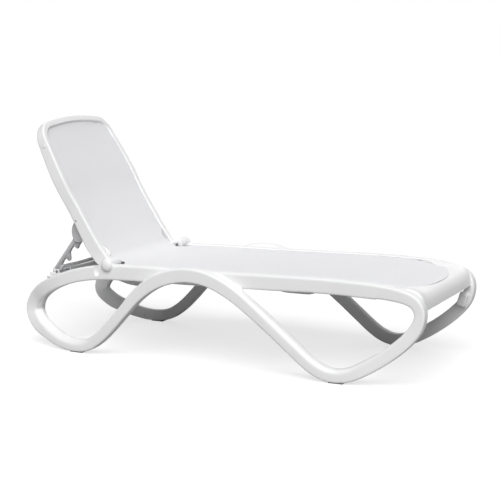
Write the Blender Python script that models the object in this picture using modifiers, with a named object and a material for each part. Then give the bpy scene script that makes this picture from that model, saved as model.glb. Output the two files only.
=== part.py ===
"""Reclining sun lounger: two moulded side frames, cross beams, a sling and a ratchet back."""
import math
import bmesh
import bpy
from mathutils import Matrix, Vector

# ------------------------------------------------------------------ driving dimensions (metres)
NAME = "sun_lounger"
FRAME_LENGTH = 1.883        # head loop to foot loop
FRAME_WIDTH = 0.750         # over the outer faces of the two leg arches
SEAT_HEIGHT = 0.400         # top of the rails above the floor, in the middle
BACK_LENGTH = 0.715         # hinge axis to the top edge of the back
BACK_ANGLE = 57.6           # raised back, degrees above level
BAND_THICK = 0.045          # leg and rail thickness across the lounger
RAIL_INSET = 0.040          # rail's outer face behind the arch's outer face
RIM_WIDTH = 0.036           # back frame's rim, in the plane of the back
BACK_CLEAR = 0.0055         # back frame to rail, each side
SLING_THICK = 0.003
ROD_RADIUS = 0.0035         # cords that hold the sling's edges in their grooves
BEAM_WALL = 0.006           # walls of the cross beams
BEAM_RINGS = 17             # sections across a cross beam
BEAM_HEIGHT = 0.034         # seat beams
PAD_HEIGHT = 0.0055
PAD_LENGTH = 0.062
ROLLER_RADIUS = 0.0225
ROLLER_WIDTH = 0.016
KNUCKLE_RADIUS = 0.027
CHEEK_THICK = 0.0085
CAP_HEIGHT = 0.014
PIN_RADIUS = 0.006
BUSH_WALL = 0.002
ARM_THICK = 0.014           # prop arm across the lounger
BAR_RADIUS = 0.006
PROP_PIN_RADIUS = 0.005
TUBE_RADIUS = 0.008
SCREW_RADIUS = 0.0055
SCREW_HEAD = 0.003
BUTTON_RADIUS = 0.014       # stacking buttons on the back's sides
BUTTON_DROP = 0.122         # from the back's top edge
BUTTON_DEPTH = 0.020        # behind its front plane
GAP = 0.0003                # between pieces that touch
RUN = 0.0008                # running clearance round a turning piece

# ------------------------------------------------------------------ places along the lounger
# u runs from the head loop's lowest point towards the feet, z from the floor.
BASE_LENGTH, BASE_HEIGHT = 1.883, 0.400
CREST_U = 0.560             # the arch's crest, where the frame starts to stretch with length
LOOP_U = 1.150              # where the foot loop starts, which keeps its shape
HINGE_U = 0.139
HINGE_LIFT = 0.0005         # hinge axis above the rail's top
BAR_U = -0.185
BAR_DROP = 0.067            # ratchet bar below the hinge axis
HEAD_BEAM_U = (-0.222, -0.148)
REAR_BEAM_U = (0.135, 0.215)
FRONT_BEAM_U = (0.880, 0.970)
PIVOT_S, PIVOT_D = 0.200, 0.075         # prop pivot along and behind the back
NOTCH_BEFORE = (0.1437, 0.0707)         # how far the other notches are before the last one
EYE = 0.014                 # radius of the arm's end round its pivot
LEAN = 48.5                 # slope of the last barb, degrees from the arm
ROLLER_U = -0.082

# stations of the leg band: u, z, width in its plane, inset of the outer face, facet
LEG = (
    (0.130, 0.357, 0.062, 0.0405, 0.003), (0.040, 0.347, 0.060, 0.0405, 0.003),
    (-0.050, 0.327, 0.058, 0.0410, 0.003), (-0.140, 0.294, 0.058, 0.0435, 0.004),
    (-0.215, 0.254, 0.064, 0.0560, 0.006), (-0.268, 0.205, 0.070, 0.0740, 0.014),
    (-0.285, 0.150, 0.076, 0.0780, 0.022), (-0.247, 0.101, 0.074, 0.0600, 0.024),
    (-0.185, 0.068, 0.064, 0.0420, 0.024), (-0.112, 0.041, 0.056, 0.0240, 0.022),
    (-0.030, 0.029, 0.054, 0.0120, 0.020), (0.042, 0.039, 0.051, 0.0060, 0.014),
    (0.105, 0.076, 0.048, 0.0030, 0.006), (0.165, 0.131, 0.047, 0.0010, 0.004),
    (0.235, 0.206, 0.048, 0.0000, 0.004), (0.305, 0.281, 0.054, 0.0000, 0.004),
    (0.385, 0.338, 0.058, 0.0000, 0.004), (0.470, 0.371, 0.060, 0.0000, 0.004),
    (0.560, 0.383, 0.060, 0.0000, 0.004), (0.650, 0.369, 0.058, 0.0000, 0.004),
    (0.745, 0.328, 0.057, 0.0000, 0.006), (0.840, 0.266, 0.056, 0.0000, 0.010),
    (0.935, 0.193, 0.054, 0.0010, 0.012), (1.020, 0.124, 0.054, 0.0020, 0.012),
    (1.095, 0.065, 0.054, 0.0040, 0.012), (1.150, 0.037, 0.054, 0.0070, 0.012),
    (1.205, 0.0285, 0.053, 0.0100, 0.012), (1.265, 0.041, 0.055, 0.0140, 0.012),
    (1.335, 0.077, 0.056, 0.0200, 0.010), (1.410, 0.127, 0.056, 0.0280, 0.008),
    (1.475, 0.182, 0.054, 0.0340, 0.006), (1.520, 0.235, 0.050, 0.0385, 0.004),
    (1.538, 0.288, 0.044, 0.0405, 0.003), (1.526, 0.331, 0.046, 0.0405, 0.003),
    (1.486, 0.356, 0.048, 0.0405, 0.003), (1.410, 0.370, 0.052, 0.0405, 0.003),
    (1.320, 0.3755, 0.056, 0.0405, 0.003),
)
# stations of the rail: u, z of its top, depth
RAIL = ((0.085, 0.3860, 0.0640), (0.139, 0.3915, 0.0650), (0.300, 0.3975, 0.0660),
        (0.600, 0.4000, 0.0640), (0.900, 0.4045, 0.0620), (1.150, 0.4080, 0.0600),
        (1.360, 0.4030, 0.0600))
# stations of one half of the back frame's rim: share of the straight side, or offsets at the top
RIM_DEPTH = ((0.014, 0.044), (0.15, 0.060), (0.30, 0.066), (0.45, 0.058), (0.58, 0.046))
TOP_DEPTH = 0.030
CORNER = 0.075              # radius of the back's upper corners, at the rim's middle
ARCH_RISE = 0.016           # how far the top bar bows upward

MATERIALS = {
    "resin": ((0.90, 0.90, 0.89), 0.42, 0.0),
    "sling": ((0.80, 0.80, 0.80), 0.85, 0.0),
    "steel": ((0.62, 0.62, 0.63), 0.30, 1.0),
    "rubber": ((0.22, 0.22, 0.22), 0.75, 0.0),
    "shade": ((0.55, 0.55, 0.54), 0.50, 0.0),
}


# ------------------------------------------------------------------ derived places
def stretch(u):
    """Moves a station with the lounger's length: the frame is drawn out from crest to foot loop."""
    share = min(max((u - CREST_U) / (LOOP_U - CREST_U), 0.0), 1.0)
    return u + (FRAME_LENGTH - BASE_LENGTH) * share


def lift(z):
    return z * SEAT_HEIGHT / BASE_HEIGHT


HALF_WIDTH = FRAME_WIDTH / 2
RAIL_IN = HALF_WIDTH - RAIL_INSET - BAND_THICK      # rail's inner face
RAIL_OUT = HALF_WIDTH - RAIL_INSET
RIM_OUT = RAIL_IN - BACK_CLEAR
RIM_IN = RIM_OUT - RIM_WIDTH


def spline(points, steps):
    """Catmull-Rom curve through rows of numbers, with steps pieces between neighbours."""
    rows = []
    for i in range(len(points) - 1):
        before = points[max(i - 1, 0)]
        after = points[min(i + 2, len(points) - 1)]
        for k in range(steps):
            t = k / steps
            row = []
            for a, b, c, d in zip(before, points[i], points[i + 1], after):
                row.append(0.5 * (2 * b + (c - a) * t + (2 * a - 5 * b + 4 * c - d) * t ** 2
                                  + (3 * b - a - 3 * c + d) * t ** 3))
            rows.append(tuple(row))
    rows.append(tuple(points[-1]))
    return rows


LEG_CURVE = spline([(stretch(u), lift(z), w, inset, facet) for u, z, w, inset, facet in LEG], 3)
RAIL_CURVE = spline([(stretch(u), lift(z), depth) for u, z, depth in RAIL], 4)


def rail_top(u):
    for a, b in zip(RAIL_CURVE, RAIL_CURVE[1:]):
        if a[0] <= u <= b[0]:
            return a[1] + (b[1] - a[1]) * (u - a[0]) / (b[0] - a[0])
    return RAIL_CURVE[-1][1] if u > RAIL_CURVE[-1][0] else RAIL_CURVE[0][1]


def leg_sides():
    """Middle, tangent and left normal of the leg band at each station."""
    out = []
    for i, row in enumerate(LEG_CURVE):
        a = LEG_CURVE[max(i - 1, 0)]
        b = LEG_CURVE[min(i + 1, len(LEG_CURVE) - 1)]
        tangent = Vector((b[0] - a[0], b[1] - a[1])).normalized()
        out.append((Vector((row[0], row[1])), Vector((-tangent[1], tangent[0])), row))
    return out


LEG_SIDES = leg_sides()
LEFT_END = min((mid - normal * row[2] / 2)[0] for mid, normal, row in LEG_SIDES)
RIGHT_END = max((mid - normal * row[2] / 2)[0] for mid, normal, row in LEG_SIDES)
SHIFT = -(LEFT_END + RIGHT_END) / 2      # world x of u = 0, so that the origin is in the middle

HINGE = Vector((HINGE_U + SHIFT, 0.0, rail_top(HINGE_U) + HINGE_LIFT))
BAR = Vector((BAR_U + SHIFT, 0.0, HINGE.z - BAR_DROP))
ANGLE = math.radians(BACK_ANGLE)
UP_BACK = Vector((-math.cos(ANGLE), 0.0, math.sin(ANGLE)))
BEHIND = Vector((-math.sin(ANGLE), 0.0, -math.cos(ANGLE)))
PIVOT = HINGE + UP_BACK * PIVOT_S + BEHIND * PIVOT_D
ALONG_ARM = (BAR - PIVOT).normalized()
ARM_SIDE = Vector((ALONG_ARM.z, 0.0, -ALONG_ARM.x))
LAST_NOTCH = (BAR - PIVOT).length
NOTCHES = [LAST_NOTCH - before for before in NOTCH_BEFORE]
LUG_OUT = RIM_IN - 0.0005
LUG_THICK = 0.010
ARM_OUT = LUG_OUT - LUG_THICK - 0.0005
ARM_IN = ARM_OUT - ARM_THICK


# ------------------------------------------------------------------ scene and helpers
for old in list(bpy.data.objects):
    bpy.data.objects.remove(old, do_unlink=True)
PARTS = bpy.data.collections.new(NAME)
CUTTERS = bpy.data.collections.new("cutters")
for collection in (PARTS, CUTTERS):
    bpy.context.scene.collection.children.link(collection)


def material(name, finish):
    colour, rough, metal = MATERIALS[finish]
    mat = bpy.data.materials.new(name + "_" + finish)
    mat.use_nodes = True
    shader = mat.node_tree.nodes["Principled BSDF"]
    shader.inputs["Base Color"].default_value = (*colour, 1.0)
    shader.inputs["Roughness"].default_value = rough
    shader.inputs["Metallic"].default_value = metal
    return mat


def add_object(name, mesh, finish, parent=None, origin=None):
    """Links a mesh given in world places, with its origin moved to its joint."""
    obj = bpy.data.objects.new(name, mesh)
    PARTS.objects.link(obj)
    mesh.materials.append(material(name, finish))
    if origin is not None:
        mesh.transform(Matrix.Translation(-origin))
        obj.location = origin
    if parent is not None:
        obj.parent = parent
        obj.matrix_parent_inverse = Matrix.Translation(-parent.location)
    return obj


def add_cutter(name, mesh):
    obj = bpy.data.objects.new(name, mesh)
    CUTTERS.objects.link(obj)
    obj.hide_render = True
    obj.display_type = "WIRE"
    return obj


def finish_mesh(name, bm, smooth=None):
    bmesh.ops.recalc_face_normals(bm, faces=bm.faces)
    mesh = bpy.data.meshes.new(name)
    bm.to_mesh(mesh)
    bm.free()
    if smooth is not None:
        mesh.shade_smooth()
        mesh.set_sharp_from_angle(angle=math.radians(smooth))
    return mesh


def loft(name, rings):
    """Closed solid through rings of points that all have the same count."""
    bm = bmesh.new()
    rows = [[bm.verts.new(p) for p in ring] for ring in rings]
    for a, b in zip(rows, rows[1:]):
        for i in range(len(a)):
            j = (i + 1) % len(a)
            bm.faces.new((a[i], a[j], b[j], b[i]))
    bm.faces.new(rows[0])
    bm.faces.new(rows[-1])
    return finish_mesh(name, bm)


def block(name, low, high):
    """Box between two corners."""
    bm = bmesh.new()
    bmesh.ops.create_cube(bm, size=1.0)
    low, high = Vector(low), Vector(high)
    size = high - low
    bmesh.ops.scale(bm, vec=size, verts=bm.verts)
    bmesh.ops.translate(bm, vec=(low + high) / 2, verts=bm.verts)
    return finish_mesh(name, bm)


def drum(name, centre, radius, y0, y1, segments=32, radius2=None):
    """Cylinder or cone along y between y0 and y1, round centre's x and z."""
    bm = bmesh.new()
    bmesh.ops.create_cone(bm, cap_ends=True, segments=segments, radius1=radius,
                          radius2=radius if radius2 is None else radius2, depth=abs(y1 - y0))
    turn = -90 if y1 > y0 else 90
    bmesh.ops.rotate(bm, matrix=Matrix.Rotation(math.radians(turn), 3, "X"), verts=bm.verts)
    bmesh.ops.translate(bm, vec=(centre.x, (y0 + y1) / 2, centre.z), verts=bm.verts)
    return finish_mesh(name, bm, smooth=40)


def boolean(obj, cutter, operation="DIFFERENCE"):
    mod = obj.modifiers.new(cutter.name, "BOOLEAN")
    mod.operation = operation
    mod.solver = "EXACT"
    mod.object = cutter


def bevel(obj, width, segments=1, angle=35):
    mod = obj.modifiers.new("bevel", "BEVEL")
    mod.width = width
    mod.segments = segments
    mod.limit_method = "ANGLE"
    mod.angle_limit = math.radians(angle)


def empty(name, place, parent=None):
    obj = bpy.data.objects.new(name, None)
    PARTS.objects.link(obj)
    obj.location = place
    if parent is not None:
        obj.parent = parent
        obj.matrix_parent_inverse = Matrix.Translation(-parent.location)
    return obj


def sides():
    return (("left", 1.0), ("right", -1.0))


# ------------------------------------------------------------------ side frames
def leg_rings(side):
    """Five-cornered sections: flat outer face, a sloping facet towards each loop's opening."""
    rings = []
    for mid, normal, (_, _, width, inset, facet) in LEG_SIDES:
        outer = HALF_WIDTH - inset
        inner = outer - BAND_THICK
        corners = ((-width / 2, inner), (-width / 2, outer), (width / 2 - facet, outer),
                   (width / 2, outer - facet), (width / 2, inner))
        ring = []
        for across, y in corners:
            place = mid + normal * across
            ring.append((place[0] + SHIFT, side * y, place[1]))
        rings.append(ring)
    return rings


GROOVE = 2 * (ROD_RADIUS + GAP)


def rail_rings(side):
    """Rail sections with a groove for the sling's cord high on the inner face."""
    rings = []
    for u, top, depth in RAIL_CURVE:
        lip = top - 0.006
        corners = ((RAIL_OUT, top), (RAIL_OUT, top - depth), (RAIL_IN, top - depth),
                   (RAIL_IN, lip - GROOVE), (RAIL_IN + GROOVE, lip - GROOVE),
                   (RAIL_IN + GROOVE, lip), (RAIL_IN, lip), (RAIL_IN, top))
        rings.append([(u + SHIFT, side * y, z) for y, z in corners])
    return rings


ROLLER = Vector((ROLLER_U + SHIFT, 0.0, ROLLER_RADIUS + 0.004))


def band_middle(u):
    """Middle of the leg band's thickness at the loop's bottom, across the lounger."""
    low = [row for row in LEG_CURVE if row[1] < lift(0.08)]
    row = min(low, key=lambda r: abs(r[0] - u))
    return HALF_WIDTH - row[3] - BAND_THICK / 2


def low_point(near):
    low = [(mid - normal * row[2] / 2)[1] for mid, normal, row in LEG_SIDES]
    spots = [i for i, s in enumerate(LEG_SIDES) if abs(s[0][0] - near) < 0.12]
    best = min(spots, key=lambda i: low[i])
    return LEG_SIDES[best][0][0]


HEAD_PAD_U = low_point(0.0) + 0.012
FOOT_PAD_U = low_point(stretch(1.2))


def side_frame(tag, side):
    name = "side_frame_" + tag
    frame = add_object(name, loft(name, leg_rings(side)), "resin")
    rail = add_cutter(name + "_rail", loft(name + "_rail", rail_rings(side)))
    boolean(frame, rail, "UNION")
    ear = drum(name + "_ear", HINGE, KNUCKLE_RADIUS + 0.003, side * (RAIL_OUT - 0.02),
               side * (RAIL_OUT + 0.0006))
    boolean(frame, add_cutter(name + "_ear", ear), "UNION")
    saddle = drum(name + "_saddle", HINGE, KNUCKLE_RADIUS + 0.0035, side * (RAIL_IN - 0.02),
                  side * (RAIL_OUT - CHEEK_THICK))
    boolean(frame, add_cutter(name + "_saddle", saddle))
    hole = drum(name + "_pin_hole", HINGE, PIN_RADIUS + GAP, side * (RAIL_OUT - 0.03),
                side * (RAIL_OUT + 0.03))
    boolean(frame, add_cutter(name + "_pin_hole", hole))
    floor = block(name + "_floor", (-2, -2, -0.2), (2, 2, PAD_HEIGHT))
    boolean(frame, add_cutter(name + "_floor", floor))
    middle = side * band_middle(ROLLER_U)
    half = ROLLER_WIDTH / 2 + 0.0015
    reach = ROLLER_RADIUS + 0.0025
    pocket = block(name + "_pocket", (ROLLER.x - reach, middle - half, -0.05),
                   (ROLLER.x + reach, middle + half, ROLLER.z + reach))
    boolean(frame, add_cutter(name + "_pocket", pocket))
    axle = drum(name + "_axle_hole", ROLLER, 0.004 + GAP, middle - side * 0.06,
                middle + side * (half + 0.006), 24)
    boolean(frame, add_cutter(name + "_axle_hole", axle))
    return frame


for tag, side in sides():
    side_frame(tag, side)


# ------------------------------------------------------------------ cross beams
def arm_inner(u):
    """Inner face of the head arm at u, on the arm's upper run."""
    upper = [row for row in LEG_CURVE[:16]]
    for b, a in zip(upper, upper[1:]):
        if a[0] <= u <= b[0]:
            share = (u - a[0]) / (b[0] - a[0])
            return HALF_WIDTH - BAND_THICK - (a[3] + (b[3] - a[3]) * share)
    return RAIL_IN


def cross_beam(name, profile, reach, drop):
    """Sweeps a closed profile of (u, z) across the lounger, bowed down by drop in the middle."""
    rings = []
    for k in range(BEAM_RINGS):
        share = -1 + 2 * k / (BEAM_RINGS - 1)
        sag = drop * (1 - share ** 2) ** 1.3 if abs(share) < 1 else 0.0
        rings.append([(u + SHIFT, share * reach(u), z - sag) for u, z in profile])
    return add_object(name, loft(name, rings), "resin")


def channel(u0, u1, low, high, wall):
    """Open-topped channel, as a closed profile."""
    return ((u0, high), (u0, low), (u1, low), (u1, high), (u1 - wall, high),
            (u1 - wall, low + wall), (u0 + wall, low + wall), (u0 + wall, high))


def seat_beam(name, span, below, drop):
    """Bowed channel under the seat, its ends below the rails' tops. Returns its top at the ends."""
    top = rail_top((span[0] + span[1]) / 2) - below
    profile = channel(span[0], span[1], top - BEAM_HEIGHT, top, BEAM_WALL)
    cross_beam(name, profile, lambda u: RAIL_IN - GAP, drop)
    return top


REAR_TOP = seat_beam("seat_beam_rear", REAR_BEAM_U, 0.035, 0.075)
FRONT_TOP = seat_beam("seat_beam_front", [stretch(u) for u in FRONT_BEAM_U], 0.022, 0.070)

RIM_SIDE = RIM_IN - RUN     # the head beam and the bar end their full height here, beside the rim
SHOULDER_DROP = 0.0045      # beam's ends below the bar's middle, clear of the lowered rim
BAR_RIB = 0.0055            # ribs that hold the bar's ends
HEAD_BEAM_TOP = BAR.z + 0.024
HEAD_BEAM_LOW = BAR.z - 0.048
HEAD_BEAM = cross_beam("head_beam",
                       channel(*HEAD_BEAM_U, HEAD_BEAM_LOW, HEAD_BEAM_TOP, BEAM_WALL),
                       lambda u: arm_inner(u) - 0.0012, 0.012)
for tag, side in sides():
    y0, y1 = sorted((side * (ARM_IN - 0.005), side * (ARM_OUT + 0.005)))
    slot = block("head_beam_slot_" + tag, (HEAD_BEAM_U[0] + SHIFT - 0.03, y0, BAR.z - 0.022),
                 (HEAD_BEAM_U[1] + SHIFT + 0.03, y1, HEAD_BEAM_TOP + 0.05))
    boolean(HEAD_BEAM, add_cutter("head_beam_slot_" + tag, slot))
    y0, y1 = sorted((side * RIM_SIDE, side * HALF_WIDTH))
    shoulder = block("head_beam_shoulder_" + tag,
                     (HEAD_BEAM_U[0] + SHIFT - 0.03, y0, BAR.z - SHOULDER_DROP),
                     (HEAD_BEAM_U[1] + SHIFT + 0.03, y1, HEAD_BEAM_TOP + 0.05))
    boolean(HEAD_BEAM, add_cutter("head_beam_shoulder_" + tag, shoulder))
    y0, y1 = sorted((side * (RIM_SIDE - BAR_RIB), side * RIM_SIDE))
    rib = block("head_beam_rib_" + tag, (HEAD_BEAM_U[0] + SHIFT + BEAM_WALL / 2, y0, HEAD_BEAM_LOW),
                (HEAD_BEAM_U[1] + SHIFT - BEAM_WALL / 2, y1, BAR.z + BAR_RADIUS + 0.006))
    boolean(HEAD_BEAM, add_cutter("head_beam_rib_" + tag, rib), "UNION")
    bore = drum("head_beam_bore_" + tag, BAR, BAR_RADIUS + GAP, side * ARM_IN, side * HALF_WIDTH, 24)
    boolean(HEAD_BEAM, add_cutter("head_beam_bore_" + tag, bore))

BAR_END = RIM_SIDE - GAP
add_object("ratchet_bar", drum("ratchet_bar", BAR, BAR_RADIUS, -BAR_END, BAR_END, 24), "steel")


def crossbar_profile():
    """Rounded waterfall at the foot end, an open shell."""
    top = rail_top(stretch(1.33)) - 0.006
    end = RIGHT_END - 0.014
    outer = [(end - 0.115, top), (end - 0.060, top - 0.001)]
    for step in range(7):
        turn = math.radians(90 - 15 * step)
        outer.append((end - 0.045 + 0.045 * math.cos(turn), top - 0.048 + 0.045 * math.sin(turn)))
    outer.append((end - 0.012, top - 0.095))
    inner = []
    for i, (u, z) in enumerate(outer):
        a, b = outer[max(i - 1, 0)], outer[min(i + 1, len(outer) - 1)]
        along = Vector((b[0] - a[0], b[1] - a[1])).normalized()
        inner.append((u + along[1] * BEAM_WALL, z - along[0] * BEAM_WALL))
    return outer + inner[::-1], top, end


CROSSBAR_PROFILE, CROSSBAR_TOP, CROSSBAR_END = crossbar_profile()
cross_beam("foot_crossbar", CROSSBAR_PROFILE, lambda u: RAIL_IN - 0.0008, 0.0)


def beam_screws(beam, u, z, reach):
    """One screw at each end of a beam, its head on the beam's floor side towards the rail."""
    for tag, side in sides():
        centre = Vector((u + SHIFT, 0.0, z))
        name = beam + "_screw_" + tag
        y0 = side * (reach - GAP - 0.0002)
        add_object(name, drum(name, centre, SCREW_RADIUS, y0 - side * SCREW_HEAD, y0, 20), "steel")


# ------------------------------------------------------------------ foot pads
def pads():
    for place, u in (("head", HEAD_PAD_U), ("foot", FOOT_PAD_U)):
        for tag, side in sides():
            name = "foot_pad_{}_{}".format(place, tag)
            middle = side * band_middle(u)
            half = BAND_THICK / 2 - 0.005
            mesh = block(name, (u + SHIFT - PAD_LENGTH / 2, middle - half, 0.0),
                         (u + SHIFT + PAD_LENGTH / 2, middle + half, PAD_HEIGHT - GAP))
            bevel(add_object(name, mesh, "rubber"), 0.002)


pads()


# ------------------------------------------------------------------ transport rollers
def rollers():
    for tag, side in sides():
        middle = side * band_middle(ROLLER_U)
        hub = Vector((ROLLER.x, middle, ROLLER.z))
        name = "transport_roller_" + tag
        mesh = drum(name, ROLLER, ROLLER_RADIUS, middle - ROLLER_WIDTH / 2,
                    middle + ROLLER_WIDTH / 2, 40)
        wheel = add_object(name, mesh, "rubber", origin=hub)
        bore = drum(name + "_bore", ROLLER, 0.004 + RUN, middle - 0.05, middle + 0.05, 24)
        boolean(wheel, add_cutter(name + "_bore", bore))
        name = "roller_axle_" + tag
        inner = middle - side * (BAND_THICK / 2 - 0.001)
        outer = middle + side * (ROLLER_WIDTH / 2 + 0.0015 + 0.006 - GAP)
        add_object(name, drum(name, ROLLER, 0.004, inner, outer, 24), "steel")


rollers()


# ------------------------------------------------------------------ slings and their cords
def seat_sling():
    start = HINGE_U + KNUCKLE_RADIUS + 0.012
    end = CROSSBAR_END - 0.116
    half = RAIL_IN - 0.0005
    rings = []
    count = 28
    for k in range(count):
        u = start + (end - start) * k / (count - 1)
        top = rail_top(u) - 0.0065
        rings.append([(u + SHIFT, half, top), (u + SHIFT, half, top - SLING_THICK),
                      (u + SHIFT, -half, top - SLING_THICK), (u + SHIFT, -half, top)])
    add_object("seat_sling", loft("seat_sling", rings), "sling")


def seat_cords():
    start, end = 0.175, LEG_CURVE[-1][0] - 0.012
    for tag, side in sides():
        rings = []
        for k in range(24):
            u = start + (end - start) * k / 23
            middle_y = side * (RAIL_IN + ROD_RADIUS + 2 * GAP)
            middle_z = rail_top(u) - 0.006 - GROOVE / 2
            ring = []
            for i in range(8):
                turn = math.tau * i / 8
                ring.append((u + SHIFT, middle_y + (ROD_RADIUS - GAP) * math.cos(turn),
                             middle_z + (ROD_RADIUS - GAP) * math.sin(turn)))
            rings.append(ring)
        name = "seat_sling_cord_" + tag
        add_object(name, loft(name, rings), "sling")


seat_sling()
seat_cords()

# ------------------------------------------------------------------ back: one empty on the hinge
BACK_AXIS = empty("back_axis", HINGE)


def back_place(s, y, d):
    """World place of a point s up the back, y across and d behind its front plane."""
    return HINGE + UP_BACK * s + BEHIND * d + Vector((0, y, 0))


def rim_path():
    """Middle line of the rim as (s, y, depth), up the left side and down the right."""
    side_y = (RIM_OUT + RIM_IN) / 2
    top_s = BACK_LENGTH - RIM_WIDTH / 2
    corner_s = top_s - ARCH_RISE - CORNER
    half = [(s * corner_s / 0.60, side_y, depth) for s, depth in RIM_DEPTH]
    for step in range(6):
        turn = math.radians(90 * (step + 0.5) / 6)
        depth = RIM_DEPTH[-1][1] + (TOP_DEPTH - RIM_DEPTH[-1][1]) * (step + 1) / 6
        half.append((corner_s + CORNER * math.sin(turn),
                     side_y - CORNER * (1 - math.cos(turn)), depth))
    flat = side_y - CORNER
    for share in (0.85, 0.6, 0.3):
        half.append((top_s - ARCH_RISE * share ** 2, flat * share, TOP_DEPTH))
    top = [(top_s, 0.0, TOP_DEPTH)]
    return half + top + [(s, -y, depth) for s, y, depth in reversed(half)]


RIM_PATH = rim_path()


def rim_edge(offset):
    """The rim's path moved sideways in the plane of the back."""
    points = []
    for i, (s, y, depth) in enumerate(RIM_PATH):
        a = RIM_PATH[max(i - 1, 0)]
        b = RIM_PATH[min(i + 1, len(RIM_PATH) - 1)]
        along = Vector((b[0] - a[0], b[1] - a[1])).normalized()
        points.append((s - along[1] * offset, y + along[0] * offset, depth))
    return points


def back_frame():
    rings = []
    for (s0, y0, depth), (s1, y1, _) in zip(rim_edge(RIM_WIDTH / 2), rim_edge(-RIM_WIDTH / 2)):
        rings.append([back_place(s0, y0, 0), back_place(s0, y0, depth),
                      back_place(s1, y1, depth), back_place(s1, y1, 0)])
    frame = add_object("back_frame", loft("back_frame", rings), "resin", BACK_AXIS, HINGE)
    moved = Matrix.Translation(-HINGE)
    for tag, side in sides():
        knuckle = drum("knuckle_" + tag, HINGE, KNUCKLE_RADIUS, side * (RIM_IN + 0.012),
                       side * (RAIL_OUT - CHEEK_THICK - RUN))
        boolean(frame, add_cutter("knuckle_" + tag, knuckle), "UNION")
        bore = drum("knuckle_bore_" + tag, HINGE, PIN_RADIUS + GAP + BUSH_WALL + GAP,
                    side * (RIM_IN - 0.03), side * (RAIL_OUT + 0.03))
        boolean(frame, add_cutter("knuckle_bore_" + tag, bore))
        groove_mesh = loft("back_groove_" + tag, [
            [back_place(s, side * y, d) for y, d in
             ((RIM_IN - 0.002, 0.004), (RIM_IN - 0.002, 0.004 + GROOVE),
              (RIM_IN + GROOVE, 0.004 + GROOVE), (RIM_IN + GROOVE, 0.004))]
            for s in (0.055, BACK_LENGTH - CORNER - RIM_WIDTH / 2 - ARCH_RISE)])
        boolean(frame, add_cutter("back_groove_" + tag, groove_mesh))
    bevel(frame, 0.003, 1, 40)
    return frame


BACK_FRAME = back_frame()


def add_back(name, mesh, finish):
    return add_object(name, mesh, finish, BACK_AXIS, HINGE)


def back_sling():
    inset = -(RIM_WIDTH / 2 + 0.0006)
    edge = [(s, y) for s, y, _ in rim_edge(inset)]
    edge = [(max(s, 0.052), y) for s, y in edge]
    bm = bmesh.new()
    front = [bm.verts.new(back_place(s, y, 0.0065)) for s, y in edge]
    back = [bm.verts.new(back_place(s, y, 0.0065 + SLING_THICK)) for s, y in edge]
    bm.faces.new(front)
    bm.faces.new(back)
    for i in range(len(edge)):
        j = (i + 1) % len(edge)
        bm.faces.new((front[i], front[j], back[j], back[i]))
    bmesh.ops.triangulate(bm, faces=[f for f in bm.faces if len(f.verts) > 4])
    add_back("back_sling", finish_mesh("back_sling", bm), "sling")


def back_cords():
    for tag, side in sides():
        rings = []
        for s in (0.058, BACK_LENGTH - CORNER - RIM_WIDTH / 2 - ARCH_RISE - 0.003):
            ring = []
            for i in range(8):
                turn = math.tau * i / 8
                ring.append(back_place(s, side * (RIM_IN + ROD_RADIUS + 2 * GAP
                                                  + (ROD_RADIUS - GAP) * math.cos(turn)),
                                       0.004 + GROOVE / 2 + (ROD_RADIUS - GAP) * math.sin(turn)))
            rings.append(ring)
        name = "back_sling_cord_" + tag
        add_back(name, loft(name, rings), "sling")


back_sling()
back_cords()


def sheared(name, s_range, y_range, d_range):
    """Box in the back's own directions."""
    rings = []
    for y in y_range:
        rings.append([back_place(s, y, d) for s, d in
                      ((s_range[0], d_range[0]), (s_range[1], d_range[0]),
                       (s_range[1], d_range[1]), (s_range[0], d_range[1]))])
    return loft(name, rings)


LUG_BACK = PIVOT_D + 0.036
LUG_SCREW_S, LUG_SCREW_D = PIVOT_S + 0.046, 0.052


def rear_rail():
    """Cross rail between the sides of the back, with the two lugs that carry the prop.

    The lugs lie flat on the rim's inner faces, and reach up to the screws through the rim."""
    low, high = PIVOT_S - 0.055, PIVOT_S - 0.020
    lug_outline = ((low + 0.001, 0.035), (LUG_SCREW_S + 0.012, 0.038),
                   (LUG_SCREW_S + 0.018, LUG_SCREW_D), (LUG_SCREW_S + 0.010, 0.068),
                   (PIVOT_S + 0.026, 0.080), (PIVOT_S + 0.018, LUG_BACK - 0.010),
                   (PIVOT_S, LUG_BACK), (PIVOT_S - 0.022, LUG_BACK - 0.006), (low + 0.006, 0.075))
    rail = add_back("back_rear_rail",
                    sheared("back_rear_rail", (low, high), (-LUG_OUT, LUG_OUT), (0.034, 0.060)),
                    "shade")
    for tag, side in sides():
        y0, y1 = LUG_OUT - LUG_THICK, LUG_OUT
        rings = []
        for y in (side * y0, side * y1):
            rings.append([back_place(s, y, d) for s, d in lug_outline])
        lug = loft("lug_" + tag, rings)
        boolean(rail, add_cutter("lug_" + tag, lug), "UNION")
        hole = drum("lug_hole_" + tag, PIVOT, PROP_PIN_RADIUS + GAP, side * (y0 - 0.01),
                    side * (y1 + 0.01), 24)
        boolean(rail, add_cutter("lug_hole_" + tag, hole))


rear_rail()


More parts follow.
